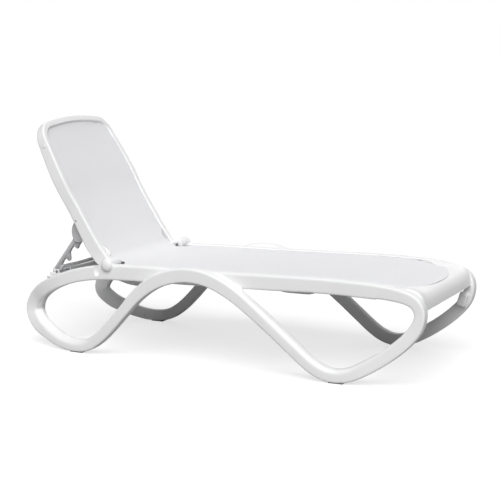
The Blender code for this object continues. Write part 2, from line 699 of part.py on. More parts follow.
def side_fittings():
    """Stacking buttons high on the rim, and the screws that hold the rear rail."""
    for tag, side in sides():
        name = "stacking_button_" + tag
        y0 = side * (RIM_OUT + GAP)
        centre = back_place(BACK_LENGTH - BUTTON_DROP, 0.0, BUTTON_DEPTH)
        button = drum(name, centre, BUTTON_RADIUS, y0, y0 + side * 0.004, 32)
        add_back(name, button, "resin")
        name = "rear_rail_screw_" + tag
        centre = back_place(LUG_SCREW_S, 0.0, LUG_SCREW_D)
        add_back(name, drum(name, centre, SCREW_RADIUS, y0, y0 + side * 0.002, 20), "steel")
        name = "hinge_bush_" + tag
        inner = PIN_RADIUS + GAP
        bush = drum(name, HINGE, inner + BUSH_WALL, side * (RIM_IN + 0.012),
                    side * (RAIL_OUT - CHEEK_THICK - RUN), 32)
        bush = add_back(name, bush, "shade")
        bore = drum(name + "_bore", HINGE, inner, side * (RIM_IN - 0.03), side * (RAIL_OUT + 0.03))
        boolean(bush, add_cutter(name + "_bore", bore))


side_fittings()


# ------------------------------------------------------------------ hinge pins and caps (fixed)
def hinge_fittings():
    for tag, side in sides():
        name = "hinge_pin_" + tag
        pin = drum(name, HINGE, PIN_RADIUS, side * (RIM_IN + 0.012), side * (RAIL_OUT - GAP), 32)
        add_object(name, pin, "steel")
        name = "hinge_cap_" + tag
        radius = KNUCKLE_RADIUS + 0.002
        steps = 8
        points = []
        for step in range(steps + 1):
            turn = math.radians(90 * step / steps)
            points.append((radius * math.sin(turn), CAP_HEIGHT * math.cos(turn)))
        bm = bmesh.new()
        verts = [bm.verts.new((r, 0, h)) for r, h in points]
        base = bm.verts.new((0, 0, 0))
        for a, b in zip(verts, verts[1:]):
            bm.edges.new((a, b))
        bm.edges.new((verts[-1], base))
        bmesh.ops.spin(bm, geom=bm.verts[:] + bm.edges[:], angle=math.tau, steps=36,
                       axis=(0, 0, 1), cent=(0, 0, 0))
        bmesh.ops.remove_doubles(bm, verts=bm.verts, dist=1e-6)
        bmesh.ops.rotate(bm, matrix=Matrix.Rotation(math.radians(-90 * side), 3, "X"),
                         verts=bm.verts)
        bmesh.ops.translate(bm, vec=(HINGE.x, side * (RAIL_OUT + 0.0006 + GAP), HINGE.z),
                            verts=bm.verts)
        add_object(name, finish_mesh(name, bm, smooth=40), "resin")


hinge_fittings()

# ------------------------------------------------------------------ prop: one empty on its pivot
PROP_AXIS = empty("prop_axis", PIVOT, BACK_AXIS)


def arm_place(r, h, y):
    """World place r along the arm from its pivot, h to its notch-free side and y across."""
    place = PIVOT + ALONG_ARM * r + ARM_SIDE * h
    return Vector((place.x, y, place.z))


def arm_outline():
    """Arm plate: eye, barbs and notches along the lower edge, a plain edge above.

    The last notch's barb leans along the way the bar leaves it when the back is lowered."""
    slot = BAR_RADIUS + 0.0009
    low = [(EYE * math.cos(t), EYE * math.sin(t)) for t in
           (math.radians(a) for a in (90, 130, 170, 210, 250, 290))]
    for notch in NOTCHES:
        low += [(notch - 0.020, -0.014), (notch - slot - 0.003, -0.018), (notch - slot, -0.015)]
        low += [(notch - slot * math.cos(t), slot * math.sin(t)) for t in
                (math.radians(a) for a in (0, 30, 60, 90, 120))]
        low += [(notch + slot + 0.004, slot), (notch + 0.034, 0.004)]
    lean = math.radians(LEAN)
    low += [(LAST_NOTCH - 0.036, -0.007),
            (LAST_NOTCH - slot * math.sin(lean) - 0.017 * math.cos(lean),
             slot * math.cos(lean) - 0.017 * math.sin(lean))]
    low += [(LAST_NOTCH - slot * math.cos(t), slot * math.sin(t)) for t in
            (math.radians(a) for a in (42, 60, 90, 120, 150, 180))]
    tip = LAST_NOTCH + slot + 0.014
    low += [(tip - 0.012, -0.002), (tip - 0.003, 0.002), (tip, 0.010), (tip - 0.004, 0.020),
            (tip - 0.014, 0.025)]
    return low + [(0.045, 0.025), (0.020, 0.019)]


def prop():
    outline = arm_outline()
    for tag, side in sides():
        rings = [[arm_place(r, h, side * y) for r, h in outline] for y in (ARM_IN, ARM_OUT)]
        name = "prop_arm_" + tag
        arm = add_object(name, loft(name, rings), "shade", PROP_AXIS, PIVOT)
        hole = drum(name + "_hole", PIVOT, PROP_PIN_RADIUS + GAP, side * (ARM_IN - 0.01),
                    side * (ARM_OUT + 0.01), 24)
        boolean(arm, add_cutter(name + "_hole", hole))
        name = "prop_pin_" + tag
        pin = drum(name, PIVOT, PROP_PIN_RADIUS, side * ARM_IN, side * (LUG_OUT - GAP), 24)
        add_object(name, pin, "steel", BACK_AXIS, HINGE)
    centre = PIVOT + ALONG_ARM * 0.060 + ARM_SIDE * 0.013
    tube = drum("prop_cross_tube", centre, TUBE_RADIUS, -(ARM_IN - GAP), ARM_IN - GAP, 24)
    add_object("prop_cross_tube", tube, "steel", PROP_AXIS, PIVOT)


prop()

# ------------------------------------------------------------------ screws at the beam ends
beam_screws("head_beam", HEAD_BEAM_U[0] + 0.020, HEAD_BEAM_LOW + 0.022, arm_inner(BAR_U) - 0.004)
beam_screws("seat_beam_rear", sum(REAR_BEAM_U) / 2, REAR_TOP - 0.012, RAIL_IN)
beam_screws("seat_beam_front", stretch(sum(FRONT_BEAM_U) / 2), FRONT_TOP - 0.012, RAIL_IN)
beam_screws("foot_crossbar", CROSSBAR_END - 0.040, CROSSBAR_TOP - 0.055, RAIL_IN)
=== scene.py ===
"""Finished shapes and materials of a reclining sun lounger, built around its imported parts."""
import math

import bmesh
import bpy
from bpy.props import FloatProperty, FloatVectorProperty, IntProperty, PointerProperty
from mathutils import Matrix, Vector


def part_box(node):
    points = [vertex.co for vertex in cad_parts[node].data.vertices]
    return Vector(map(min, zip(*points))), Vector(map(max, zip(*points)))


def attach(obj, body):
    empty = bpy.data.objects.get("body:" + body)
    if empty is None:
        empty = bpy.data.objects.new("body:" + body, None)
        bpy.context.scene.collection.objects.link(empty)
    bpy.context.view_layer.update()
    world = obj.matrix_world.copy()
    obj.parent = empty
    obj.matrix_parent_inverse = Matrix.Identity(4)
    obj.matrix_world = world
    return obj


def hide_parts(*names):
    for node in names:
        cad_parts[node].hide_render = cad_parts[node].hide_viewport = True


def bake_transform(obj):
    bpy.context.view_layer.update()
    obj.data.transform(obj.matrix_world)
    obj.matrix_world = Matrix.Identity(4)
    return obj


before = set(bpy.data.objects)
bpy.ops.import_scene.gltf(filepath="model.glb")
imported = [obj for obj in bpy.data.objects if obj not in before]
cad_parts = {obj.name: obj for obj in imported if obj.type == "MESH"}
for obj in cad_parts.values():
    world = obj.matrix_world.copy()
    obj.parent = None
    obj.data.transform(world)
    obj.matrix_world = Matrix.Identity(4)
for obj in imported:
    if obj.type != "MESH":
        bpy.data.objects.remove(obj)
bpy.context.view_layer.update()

bl_info = {
    "name": "Reclining Sun Lounger",
    "version": (1, 0, 0),
    "blender": (4, 5, 0),
    "location": "3D View > Sidebar > Lounger",
    "description": "Builds the moulded frames, sling and fittings of a reclining sun lounger",
    "category": "Add Mesh",
}


# ------------------------------------------------------------------ places read from the parts
def middle(node):
    low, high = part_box(node)
    return (low + high) / 2


HINGE = middle("hinge_pin_left")
HINGE.y = 0.0
BAR = middle("ratchet_bar")
ZERO = HINGE.x - 0.139              # x of u = 0, from which stations along the lounger count
HALF_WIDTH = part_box("side_frame_left")[1].y
RAIL_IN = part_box("seat_sling")[1].y + 0.0005
BAND = 0.045                        # leg and rail thickness across the lounger
RAIL_OUT = RAIL_IN + BAND
RIM_OUT = RAIL_IN - 0.0055
RIM_WIDTH = 0.036
RIM_IN = RIM_OUT - RIM_WIDTH
BACK_TOP = 0.715                    # hinge to the back's top edge
BACK_TURN = math.radians(57.6)
UP_BACK = Vector((-math.cos(BACK_TURN), 0.0, math.sin(BACK_TURN)))
BEHIND = Vector((-math.sin(BACK_TURN), 0.0, -math.cos(BACK_TURN)))
PAD_TOP = 0.0055

# stations of the leg band: u, z, width in its plane, inset of the outer face, facet
LEG = (
    (0.130, 0.357, 0.062, 0.0405, 0.003), (0.040, 0.347, 0.060, 0.0405, 0.003),
    (-0.050, 0.327, 0.058, 0.0410, 0.003), (-0.140, 0.294, 0.058, 0.0435, 0.004),
    (-0.215, 0.254, 0.064, 0.0560, 0.006), (-0.268, 0.205, 0.070, 0.0740, 0.014),
    (-0.285, 0.150, 0.076, 0.0780, 0.022), (-0.247, 0.101, 0.074, 0.0600, 0.024),
    (-0.185, 0.068, 0.064, 0.0420, 0.024), (-0.112, 0.041, 0.056, 0.0240, 0.022),
    (-0.030, 0.029, 0.054, 0.0120, 0.020), (0.042, 0.039, 0.051, 0.0060, 0.014),
    (0.105, 0.076, 0.048, 0.0030, 0.006), (0.165, 0.131, 0.047, 0.0010, 0.004),
    (0.235, 0.206, 0.048, 0.0000, 0.004), (0.305, 0.281, 0.054, 0.0000, 0.004),
    (0.385, 0.338, 0.058, 0.0000, 0.004), (0.470, 0.371, 0.060, 0.0000, 0.004),
    (0.560, 0.383, 0.060, 0.0000, 0.004), (0.650, 0.369, 0.058, 0.0000, 0.004),
    (0.745, 0.328, 0.057, 0.0000, 0.006), (0.840, 0.266, 0.056, 0.0000, 0.010),
    (0.935, 0.193, 0.054, 0.0010, 0.012), (1.020, 0.124, 0.054, 0.0020, 0.012),
    (1.095, 0.065, 0.054, 0.0040, 0.012), (1.150, 0.037, 0.054, 0.0070, 0.012),
    (1.205, 0.0285, 0.053, 0.0100, 0.012), (1.265, 0.041, 0.055, 0.0140, 0.012),
    (1.335, 0.077, 0.056, 0.0200, 0.010), (1.410, 0.127, 0.056, 0.0280, 0.008),
    (1.475, 0.182, 0.054, 0.0340, 0.006), (1.520, 0.235, 0.050, 0.0385, 0.004),
    (1.538, 0.288, 0.044, 0.0405, 0.003), (1.526, 0.331, 0.046, 0.0405, 0.003),
    (1.486, 0.356, 0.048, 0.0405, 0.003), (1.410, 0.370, 0.052, 0.0405, 0.003),
    (1.320, 0.3755, 0.056, 0.0405, 0.003),
)
# stations of the rail: u, z of its top, depth
RAIL = ((0.085, 0.3860, 0.0640), (0.139, 0.3915, 0.0650), (0.300, 0.3975, 0.0660),
        (0.600, 0.4000, 0.0640), (0.900, 0.4045, 0.0620), (1.150, 0.4080, 0.0600),
        (1.360, 0.4030, 0.0600))
# the back up one side: s, bow behind the hinge's plane, depth, outer half width, rim width
BACK_LINE = (
    (0.014, 0.0080, 0.060, 0.2845, 0.0340), (0.050, 0.0150, 0.064, 0.2860, 0.0330),
    (0.120, 0.0205, 0.066, 0.2868, 0.0310), (0.180, 0.0210, 0.062, 0.2868, 0.0305),
    (0.240, 0.0212, 0.059, 0.2852, 0.0300), (0.300, 0.0208, 0.056, 0.2850, 0.0290),
    (0.360, 0.0200, 0.055, 0.2890, 0.0290), (0.420, 0.0155, 0.057, 0.2910, 0.0300),
    (0.480, 0.0125, 0.058, 0.2870, 0.0290),
    (0.540, 0.0105, 0.055, 0.2810, 0.0285), (0.606, 0.0080, 0.051, 0.2735, 0.0280),
    (0.650, 0.0060, 0.047, 0.2735, 0.0290), (0.692, 0.0010, 0.040, 0.2735, 0.0310),
    (0.709, 0.0000, 0.036, 0.2735, 0.0310),
)
CORNER_S = 0.606                # where the back's corners start
CORNER_Y = 0.1915               # half length of the straight part of the top bar
BACK_RISE = 0.009               # how far the top bar's edge stands above the hinge's reach
ARCH_RISE = 0.016
SIDES = (("left", 1.0), ("right", -1.0))


def place(u, y, z):
    return Vector((u + ZERO, y, z))


def back_place(s, y, d):
    """A point s up the back, y across and d behind its front plane."""
    return HINGE + UP_BACK * s + BEHIND * d + Vector((0.0, y, 0.0))


def spline(rows, steps):
    """Smooth curve through rows of numbers, with steps pieces between neighbours."""
    out = []
    for i in range(len(rows) - 1):
        four = (rows[max(i - 1, 0)], rows[i], rows[i + 1], rows[min(i + 2, len(rows) - 1)])
        for k in range(steps):
            t = k / steps
            out.append([0.5 * (2 * b + (c - a) * t + (2 * a - 5 * b + 4 * c - d) * t ** 2
                               + (3 * b - a - 3 * c + d) * t ** 3) for a, b, c, d in zip(*four)])
    return out + [list(rows[-1])]


def along(rows, at, column=0):
    """Row of a table where its column is at, by straight interpolation."""
    for a, b in zip(rows, rows[1:]):
        if a[column] <= at <= b[column]:
            t = (at - a[column]) / max(b[column] - a[column], 1e-9)
            return [p + (q - p) * t for p, q in zip(a, b)]
    return list(rows[0] if at < rows[0][column] else rows[-1])


RAIL_CURVE = spline(RAIL, 8)
BACK_CURVE = spline(BACK_LINE, 6)


def back_bow(s):
    """How far behind the hinge's plane the back's front is at s."""
    return along(BACK_CURVE, s)[1]


def back_outer(s):
    """Half the distance between the rim's outer faces at s."""
    return along(BACK_CURVE, s)[3]


def back_inner(s):
    """Half the distance between the rim's inner faces at s."""
    row = along(BACK_CURVE, s)
    return row[3] - row[4]


def rail_top(u):
    """Height of the rail's top at station u."""
    for a, b in zip(RAIL_CURVE, RAIL_CURVE[1:]):
        if a[0] <= u <= b[0]:
            return a[1] + (b[1] - a[1]) * (u - a[0]) / (b[0] - a[0])
    return RAIL_CURVE[-1][1] if u > RAIL_CURVE[-1][0] else RAIL_CURVE[0][1]


# ------------------------------------------------------------------ making and finishing meshes
def new_object(name, bm):
    mesh = bpy.data.meshes.new(name)
    bm.to_mesh(mesh)
    bm.free()
    obj = bpy.data.objects.new(name, mesh)
    bpy.context.scene.collection.objects.link(obj)
    return obj


def sweep(rings):
    """Closed skin through rings of points: the first ring is extruded on to each next one."""
    bm = bmesh.new()
    ring = [bm.verts.new(point) for point in rings[0]]
    edges = [bm.edges.new(pair) for pair in zip(ring, ring[1:] + ring[:1])]
    bmesh.ops.edgeloop_fill(bm, edges=edges)
    for points in rings[1:]:
        made = bmesh.ops.extrude_edge_only(bm, edges=edges)["geom"]
        fresh = {tuple(v.co): v for v in made if isinstance(v, bmesh.types.BMVert)}
        ring = [fresh[tuple(v.co)] for v in ring]
        edges = [bm.edges.get(pair) for pair in zip(ring, ring[1:] + ring[:1])]
        for vert, point in zip(ring, points):
            vert.co = point
    bmesh.ops.edgeloop_fill(bm, edges=edges)
    bmesh.ops.recalc_face_normals(bm, faces=bm.faces[:])
    return bm


def rounded(corners, radii, steps=3):
    """A flat outline with each corner rounded by its own radius."""
    out = []
    for i, (corner, radius) in enumerate(zip(corners, radii)):
        here = Vector(corner)
        back = Vector(corners[i - 1]) - here
        on = Vector(corners[(i + 1) % len(corners)]) - here
        reach = min(radius, 0.45 * back.length, 0.45 * on.length)
        start, end = here + back.normalized() * reach, here + on.normalized() * reach
        for k in range(steps + 1):
            t = k / steps
            out.append(start.lerp(here, t).lerp(here.lerp(end, t), t))
    return out


def turned(profile, steps=48):
    """Solid of revolution round y from (distance along y, radius) points, closed on the axis."""
    bm = bmesh.new()
    line = [bm.verts.new((radius, along, 0.0)) for along, radius in profile]
    edges = [bm.edges.new(pair) for pair in zip(line, line[1:])]
    bmesh.ops.spin(bm, geom=line + edges, angle=math.tau, steps=steps, axis=(0, 1, 0),
                   cent=(0, 0, 0), use_merge=True)
    bmesh.ops.remove_doubles(bm, verts=bm.verts[:], dist=1e-6)
    bmesh.ops.recalc_face_normals(bm, faces=bm.faces[:])
    return bm


def moved(bm, offset, turn=None):
    if turn is not None:
        bmesh.ops.rotate(bm, matrix=turn, verts=bm.verts[:])
    bmesh.ops.translate(bm, vec=offset, verts=bm.verts[:])
    return bm


def brick(low, high, radius=0.0, segments=3):
    """Box between two corners, its edges rounded."""
    bm = bmesh.new()
    bmesh.ops.create_cube(bm, size=1.0)
    low, high = Vector(low), Vector(high)
    bmesh.ops.scale(bm, vec=high - low, verts=bm.verts[:])
    bmesh.ops.translate(bm, vec=(low + high) / 2, verts=bm.verts[:])
    if radius:
        bmesh.ops.bevel(bm, geom=bm.edges[:], offset=radius, segments=segments, profile=0.5,
                        affect="EDGES", material=-1)
    return bm


def rod(centre, radius, y0, y1, segments=48):
    """Cylinder along y through centre's x and z."""
    bm = bmesh.new()
    bmesh.ops.create_cone(bm, cap_ends=True, segments=segments, radius1=radius, radius2=radius,
                          depth=abs(y1 - y0))
    return moved(bm, (centre.x, (y0 + y1) / 2, centre.z), Matrix.Rotation(math.pi / 2, 3, "X"))


def joined(shells):
    """One bmesh that holds several closed shells."""
    bm = bmesh.new()
    for shell in shells:
        mesh = bpy.data.meshes.new("shell")
        shell.to_mesh(mesh)
        shell.free()
        bm.from_mesh(mesh)
        bpy.data.meshes.remove(mesh)
    return bm


def apply_modifiers(obj):
    bpy.context.view_layer.update()
    seen = obj.evaluated_get(bpy.context.evaluated_depsgraph_get())
    mesh = bpy.data.meshes.new_from_object(seen)
    obj.modifiers.clear()
    old, obj.data = obj.data, mesh
    bpy.data.meshes.remove(old)
    return obj


def moulded(name, shells, voxel, passes):
    """One skin over shells that overlap, its edges and inner corners softened as by a mould."""
    obj = new_object(name, joined(shells))
    remesh = obj.modifiers.new("Skin", "REMESH")
    remesh.mode = "VOXEL"
    remesh.voxel_size = voxel
    soften = obj.modifiers.new("Soften", "SMOOTH")
    soften.factor = 0.5
    soften.iterations = passes
    return apply_modifiers(obj)


def cut(obj, cutters, operation="DIFFERENCE"):
    """Takes closed shells out of obj, one after the other."""
    tools = []
    for shell in cutters:
        bmesh.ops.recalc_face_normals(shell, faces=shell.faces[:])
        tool = new_object("tool", shell)
        tool.hide_render = True
        step = obj.modifiers.new("Cut", "BOOLEAN")
        step.operation = operation
        step.solver = "EXACT"
        step.object = tool
        tools.append(tool)
    apply_modifiers(obj)
    for tool in tools:
        bpy.data.objects.remove(tool, do_unlink=True)
    return obj


def shade(obj, angle=35.0):
    obj.data.shade_smooth()
    obj.data.set_sharp_from_angle(angle=math.radians(angle))
    return obj


def mirrored(obj, name):
    """The same piece for the other side of the lounger."""
    bm = bmesh.new()
    bm.from_mesh(obj.data)
    bmesh.ops.scale(bm, vec=(1.0, -1.0, 1.0), verts=bm.verts[:])
    bmesh.ops.reverse_faces(bm, faces=bm.faces[:])
    return new_object(name, bm)


def part_shell(node):
    """The part's own shape as one closed skin."""
    bm = bmesh.new()
    bm.from_mesh(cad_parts[node].data)
    bmesh.ops.remove_doubles(bm, verts=bm.verts[:], dist=2e-6)
    return bm


def rounded_copy(node, name, radius, segments=3, angle=30.0):
    """The part's own shape with its edges rounded."""
    bm = part_shell(node)
    bmesh.ops.dissolve_limit(bm, angle_limit=math.radians(1.0), verts=bm.verts[:],
                             edges=bm.edges[:])
    obj = new_object(name, bm)
    edge = obj.modifiers.new("Edges", "BEVEL")
    edge.width = radius
    edge.segments = segments
    edge.limit_method = "ANGLE"
    edge.angle_limit = math.radians(angle)
    edge.use_clamp_overlap = True
    edge.harden_normals = True
    return shade(apply_modifiers(obj), 40.0)


def finish_piece(obj, body, slot, material, *nodes):
    """Gives a piece its material and its body, and hides the parts that it stands for; the slot
    that it is given is not used.
    """
    obj.data.materials.clear()
    obj.data.materials.append(material)
    if body:
        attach(obj, body)
    if nodes:
        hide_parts(*nodes)
    return obj


# ------------------------------------------------------------------ shader building
def add_node(tree, kind, inputs=None, **settings):
    node = tree.nodes.new(kind)
    for key, value in settings.items():
        setattr(node, key, value)
    for key, value in (inputs or {}).items():
        if isinstance(value, bpy.types.NodeSocket):
            tree.links.new(value, node.inputs[key])
        else:
            node.inputs[key].default_value = value
    return node


def new_group(name, inputs, outputs):
    """Shader node group with its sockets. Returns it, its input node and its output node."""
    tree = bpy.data.node_groups.new(name, "ShaderNodeTree")
    for label, kind, value in inputs:
        socket = tree.interface.new_socket(label, in_out="INPUT", socket_type=kind)
        if value is not None:
            socket.default_value = value
    for label, kind in outputs:
        tree.interface.new_socket(label, in_out="OUTPUT", socket_type=kind)
    return tree, tree.nodes.new("NodeGroupInput"), tree.nodes.new("NodeGroupOutput")


def maths(tree, operation, a, b=0.0):
    return add_node(tree, "ShaderNodeMath", {0: a, 1: b}, operation=operation).outputs[0]


def span(tree, value, low, high, to_low=0.0, to_high=1.0):
    """Maps value from one range to another, clamped."""
    return add_node(tree, "ShaderNodeMapRange", {"Value": value, "From Min": low, "From Max": high,
                                                 "To Min": to_low, "To Max": to_high}).outputs[0]


FLOAT, VECTOR = "NodeSocketFloat", "NodeSocketVector"


def grain_group():
    """Fine moulded grain: two sizes of noise for the height, a slow one for shade and gloss."""
    tree, enter, leave = new_group(
        "Moulded Grain",
        [("Vector", VECTOR, None), ("Grain", FLOAT, 900.0), ("Mottle", FLOAT, 7.0)],
        [("Height", FLOAT), ("Mottle", FLOAT)])
    fine = add_node(tree, "ShaderNodeTexNoise", {"Vector": enter.outputs["Vector"],
                                                 "Scale": enter.outputs["Grain"],
                                                 "Detail": 3.0, "Roughness": 0.6})
    slow = add_node(tree, "ShaderNodeTexNoise", {"Vector": enter.outputs["Vector"],
                                                 "Scale": enter.outputs["Mottle"],
                                                 "Detail": 4.0, "Roughness": 0.55})
    tree.links.new(fine.outputs["Fac"], leave.inputs["Height"])
    tree.links.new(span(tree, slow.outputs["Fac"], 0.3, 0.7), leave.inputs["Mottle"])
    return tree


def wear_group():
    """Rubbed edges and the dust that stays low down, broken up by noise."""
    tree, enter, leave = new_group(
        "Wear And Dust",
        [("Vector", VECTOR, None), ("Edge Start", FLOAT, 0.515), ("Dust Height", FLOAT, 0.09)],
        [("Edge", FLOAT), ("Dust", FLOAT)])
    patches = add_node(tree, "ShaderNodeTexNoise", {"Vector": enter.outputs["Vector"],
                                                    "Scale": 38.0, "Detail": 5.0})
    edge = add_node(tree, "ShaderNodeNewGeometry").outputs["Pointiness"]
    sharp = maths(tree, "SUBTRACT", edge, enter.outputs["Edge Start"])
    sharp = span(tree, sharp, 0.0, 0.05)
    broken = span(tree, patches.outputs["Fac"], 0.42, 0.62)
    tree.links.new(maths(tree, "MULTIPLY", sharp, broken), leave.inputs["Edge"])
    split = add_node(tree, "ShaderNodeSeparateXYZ", {0: enter.outputs["Vector"]})
    low = maths(tree, "DIVIDE", split.outputs["Z"], enter.outputs["Dust Height"])
    low = span(tree, low, 0.0, 1.0, 1.0, 0.0)
    tree.links.new(maths(tree, "MULTIPLY", low, span(tree, patches.outputs["Fac"], 0.3, 0.7)),
                   leave.inputs["Dust"])
    return tree


def weave_group():
    """Plain weave of coated yarns on a map in metres: crowns, a mask of the gaps between yarns for
    painted shade, and a yarn-by-yarn tone.
    """
    tree, enter, leave = new_group(
        "Plain Weave", [("Vector", VECTOR, None), ("Pitch", FLOAT, 0.0016)],
        [("Height", FLOAT), ("Painted Gap Shade", FLOAT), ("Yarn", FLOAT)])
    split = add_node(tree, "ShaderNodeSeparateXYZ", {0: enter.outputs["Vector"]})
    across = maths(tree, "DIVIDE", split.outputs["X"], enter.outputs["Pitch"])
    along = maths(tree, "DIVIDE", split.outputs["Y"], enter.outputs["Pitch"])
    humps, cells = [], []
    for axis in (across, along):
        cells.append(maths(tree, "FLOOR", axis))
        humps.append(maths(tree, "SINE", maths(tree, "MULTIPLY", maths(tree, "FRACT", axis),
                                               math.pi)))
    turn = maths(tree, "PINGPONG", maths(tree, "ADD", cells[0], cells[1]), 1.0)
    crowns = []
    for own, other in ((humps[0], humps[1]), (humps[1], humps[0])):
        crown = maths(tree, "ADD", maths(tree, "MULTIPLY", other, 0.35), 0.65)
        crowns.append(maths(tree, "MULTIPLY", maths(tree, "POWER", own, 0.6), crown))
    height = add_node(tree, "ShaderNodeMix", {0: turn, 2: crowns[0], 3: crowns[1]}).outputs[0]
    tree.links.new(height, leave.inputs["Height"])
    # The gaps between yarns, where both humps are low: the mask for painted shade in the pits.
    edge = maths(tree, "MAXIMUM", humps[0], humps[1])
    tree.links.new(span(tree, edge, 0.35, 0.6, 1.0, 0.0), leave.inputs["Painted Gap Shade"])
    pair = add_node(tree, "ShaderNodeCombineXYZ", {0: cells[0], 1: maths(tree, "MULTIPLY", cells[1],
                                                                         0.02)})
    noise = add_node(tree, "ShaderNodeTexNoise", {"Vector": pair.outputs[0], "Scale": 0.7,
                                                  "Detail": 2.0})
    tree.links.new(noise.outputs["Fac"], leave.inputs["Yarn"])
    return tree


GROUPS = {}


def group(tree, name, inputs):
    makers = {"grain": grain_group, "wear": wear_group, "weave": weave_group}
    if name not in GROUPS:
        GROUPS[name] = makers[name]()
    node = add_node(tree, "ShaderNodeGroup")
    node.node_tree = GROUPS[name]
    for key, value in inputs.items():
        if isinstance(value, bpy.types.NodeSocket):
            tree.links.new(value, node.inputs[key])
        else:
            node.inputs[key].default_value = value
    return node


def tint(tree, amount, low, high):
    """Colour between low and high by amount."""
    mix = add_node(tree, "ShaderNodeMix", {0: amount, 6: (*low, 1.0), 7: (*high, 1.0)},
                   data_type="RGBA")
    return mix.outputs[2]


def blend_colour(tree, amount, base, over):
    return add_node(tree, "ShaderNodeMix", {0: amount, 6: base, 7: (*over, 1.0)},
                    data_type="RGBA").outputs[2]


def new_material(name, **values):
    material = bpy.data.materials.new(name)
    material.use_nodes = True
    shader = material.node_tree.nodes["Principled BSDF"]
    for key, value in values.items():
        shader.inputs[key.replace("_", " ")].default_value = value
    return material, material.node_tree, shader


def scaled(colour, factor):
    return tuple(min(1.0, channel * factor) for channel in colour)


def resin_material(name, colour, roughness, grain, dust, edge_tint):
    """Moulded resin: fine satin grain, slow mottle, rubbed edges and a little dust low down."""
    material, tree, shader = new_material(name, Specular_IOR_Level=0.45)
    where = add_node(tree, "ShaderNodeTexCoord").outputs["Object"]
    mould = group(tree, "grain", {"Vector": where, "Grain": grain})
    wear = group(tree, "wear", {"Vector": where})
    base = tint(tree, mould.outputs["Mottle"], scaled(colour, 0.985), scaled(colour, 1.01))
    base = blend_colour(tree, maths(tree, "MULTIPLY", wear.outputs["Edge"], 0.35), base,
                        scaled(colour, edge_tint))
    base = blend_colour(tree, maths(tree, "MULTIPLY", wear.outputs["Dust"], dust), base,
                        (0.62, 0.59, 0.53))
    tree.links.new(base, shader.inputs["Base Color"])
    gloss = span(tree, mould.outputs["Mottle"], 0.0, 1.0, roughness - 0.04, roughness + 0.05)
    tree.links.new(maths(tree, "SUBTRACT", gloss,
                         maths(tree, "MULTIPLY", wear.outputs["Edge"], 0.06)),
                   shader.inputs["Roughness"])
    bump = add_node(tree, "ShaderNodeBump", {"Strength": 0.18, "Distance": 0.0003,
                                             "Height": mould.outputs["Height"]})
    tree.links.new(bump.outputs[0], shader.inputs["Normal"])
    return material


def fabric_material(name, colour, pitch):
    """Coated mesh: woven yarns whose small gaps are darkened as painted shade, a soft sheen and a
    faint cool mottle.
    """
    material, tree, shader = new_material(name, Specular_IOR_Level=0.3, Sheen_Weight=0.12,
                                          Sheen_Roughness=0.5)
    where = add_node(tree, "ShaderNodeUVMap", uv_map="Cloth").outputs[0]
    weave = group(tree, "weave", {"Vector": where, "Pitch": pitch})
    slow = add_node(tree, "ShaderNodeTexNoise", {"Vector": where, "Scale": 5.0, "Detail": 3.0})
    base = tint(tree, weave.outputs["Yarn"], scaled(colour, 0.95), scaled(colour, 1.04))
    # Painted shade: the gaps between yarns are darkened toward a darker copy of the sling's colour.
    base = blend_colour(tree, maths(tree, "MULTIPLY", weave.outputs["Painted Gap Shade"], 0.55), base,
                        scaled(colour, 0.55))
    base = blend_colour(tree, span(tree, slow.outputs["Fac"], 0.35, 0.65, 0.0, 0.10), base,
                        scaled(colour, 0.93))
    tree.links.new(base, shader.inputs["Base Color"])
    tree.links.new(span(tree, weave.outputs["Height"], 0.0, 1.0, 0.78, 0.55),
                   shader.inputs["Roughness"])
    bump = add_node(tree, "ShaderNodeBump", {"Strength": 0.5, "Distance": 0.0004,
                                             "Height": weave.outputs["Height"]})
    tree.links.new(bump.outputs[0], shader.inputs["Normal"])
    return material


def steel_material(name, colour, stretch):
    """Brushed steel, its fine lines drawn out along one axis."""
    material, tree, shader = new_material(name, Metallic=1.0)
    where = add_node(tree, "ShaderNodeTexCoord").outputs["Object"]
    drawn = add_node(tree, "ShaderNodeMapping", {"Vector": where, "Scale": stretch})
    lines = group(tree, "grain", {"Vector": drawn.outputs[0], "Grain": 600.0, "Mottle": 25.0})
    base = tint(tree, lines.outputs["Mottle"], scaled(colour, 0.9), scaled(colour, 1.06))
    tree.links.new(base, shader.inputs["Base Color"])
    tree.links.new(span(tree, lines.outputs["Height"], 0.3, 0.7, 0.24, 0.4),
                   shader.inputs["Roughness"])
    bump = add_node(tree, "ShaderNodeBump", {"Strength": 0.12, "Distance": 0.0002,
                                             "Height": lines.outputs["Height"]})
    tree.links.new(bump.outputs[0], shader.inputs["Normal"])
    return material


def rubber_material(name, colour):
    """Matt rubber, scuffed where it touches the ground."""
    material, tree, shader = new_material(name, Specular_IOR_Level=0.35)
    where = add_node(tree, "ShaderNodeTexCoord").outputs["Object"]
    skin = group(tree, "grain", {"Vector": where, "Grain": 1400.0, "Mottle": 30.0})
    wear = group(tree, "wear", {"Vector": where, "Dust Height": 0.03})
    base = tint(tree, skin.outputs["Mottle"], scaled(colour, 0.85), scaled(colour, 1.2))
    base = blend_colour(tree, maths(tree, "MULTIPLY", wear.outputs["Dust"], 0.35), base,
                        (0.45, 0.43, 0.40))
    tree.links.new(base, shader.inputs["Base Color"])
    tree.links.new(span(tree, skin.outputs["Mottle"], 0.0, 1.0, 0.7, 0.88),
                   shader.inputs["Roughness"])
    bump = add_node(tree, "ShaderNodeBump", {"Strength": 0.35, "Distance": 0.0003,
                                             "Height": skin.outputs["Height"]})
    tree.links.new(bump.outputs[0], shader.inputs["Normal"])
    return material


MATERIALS = {}


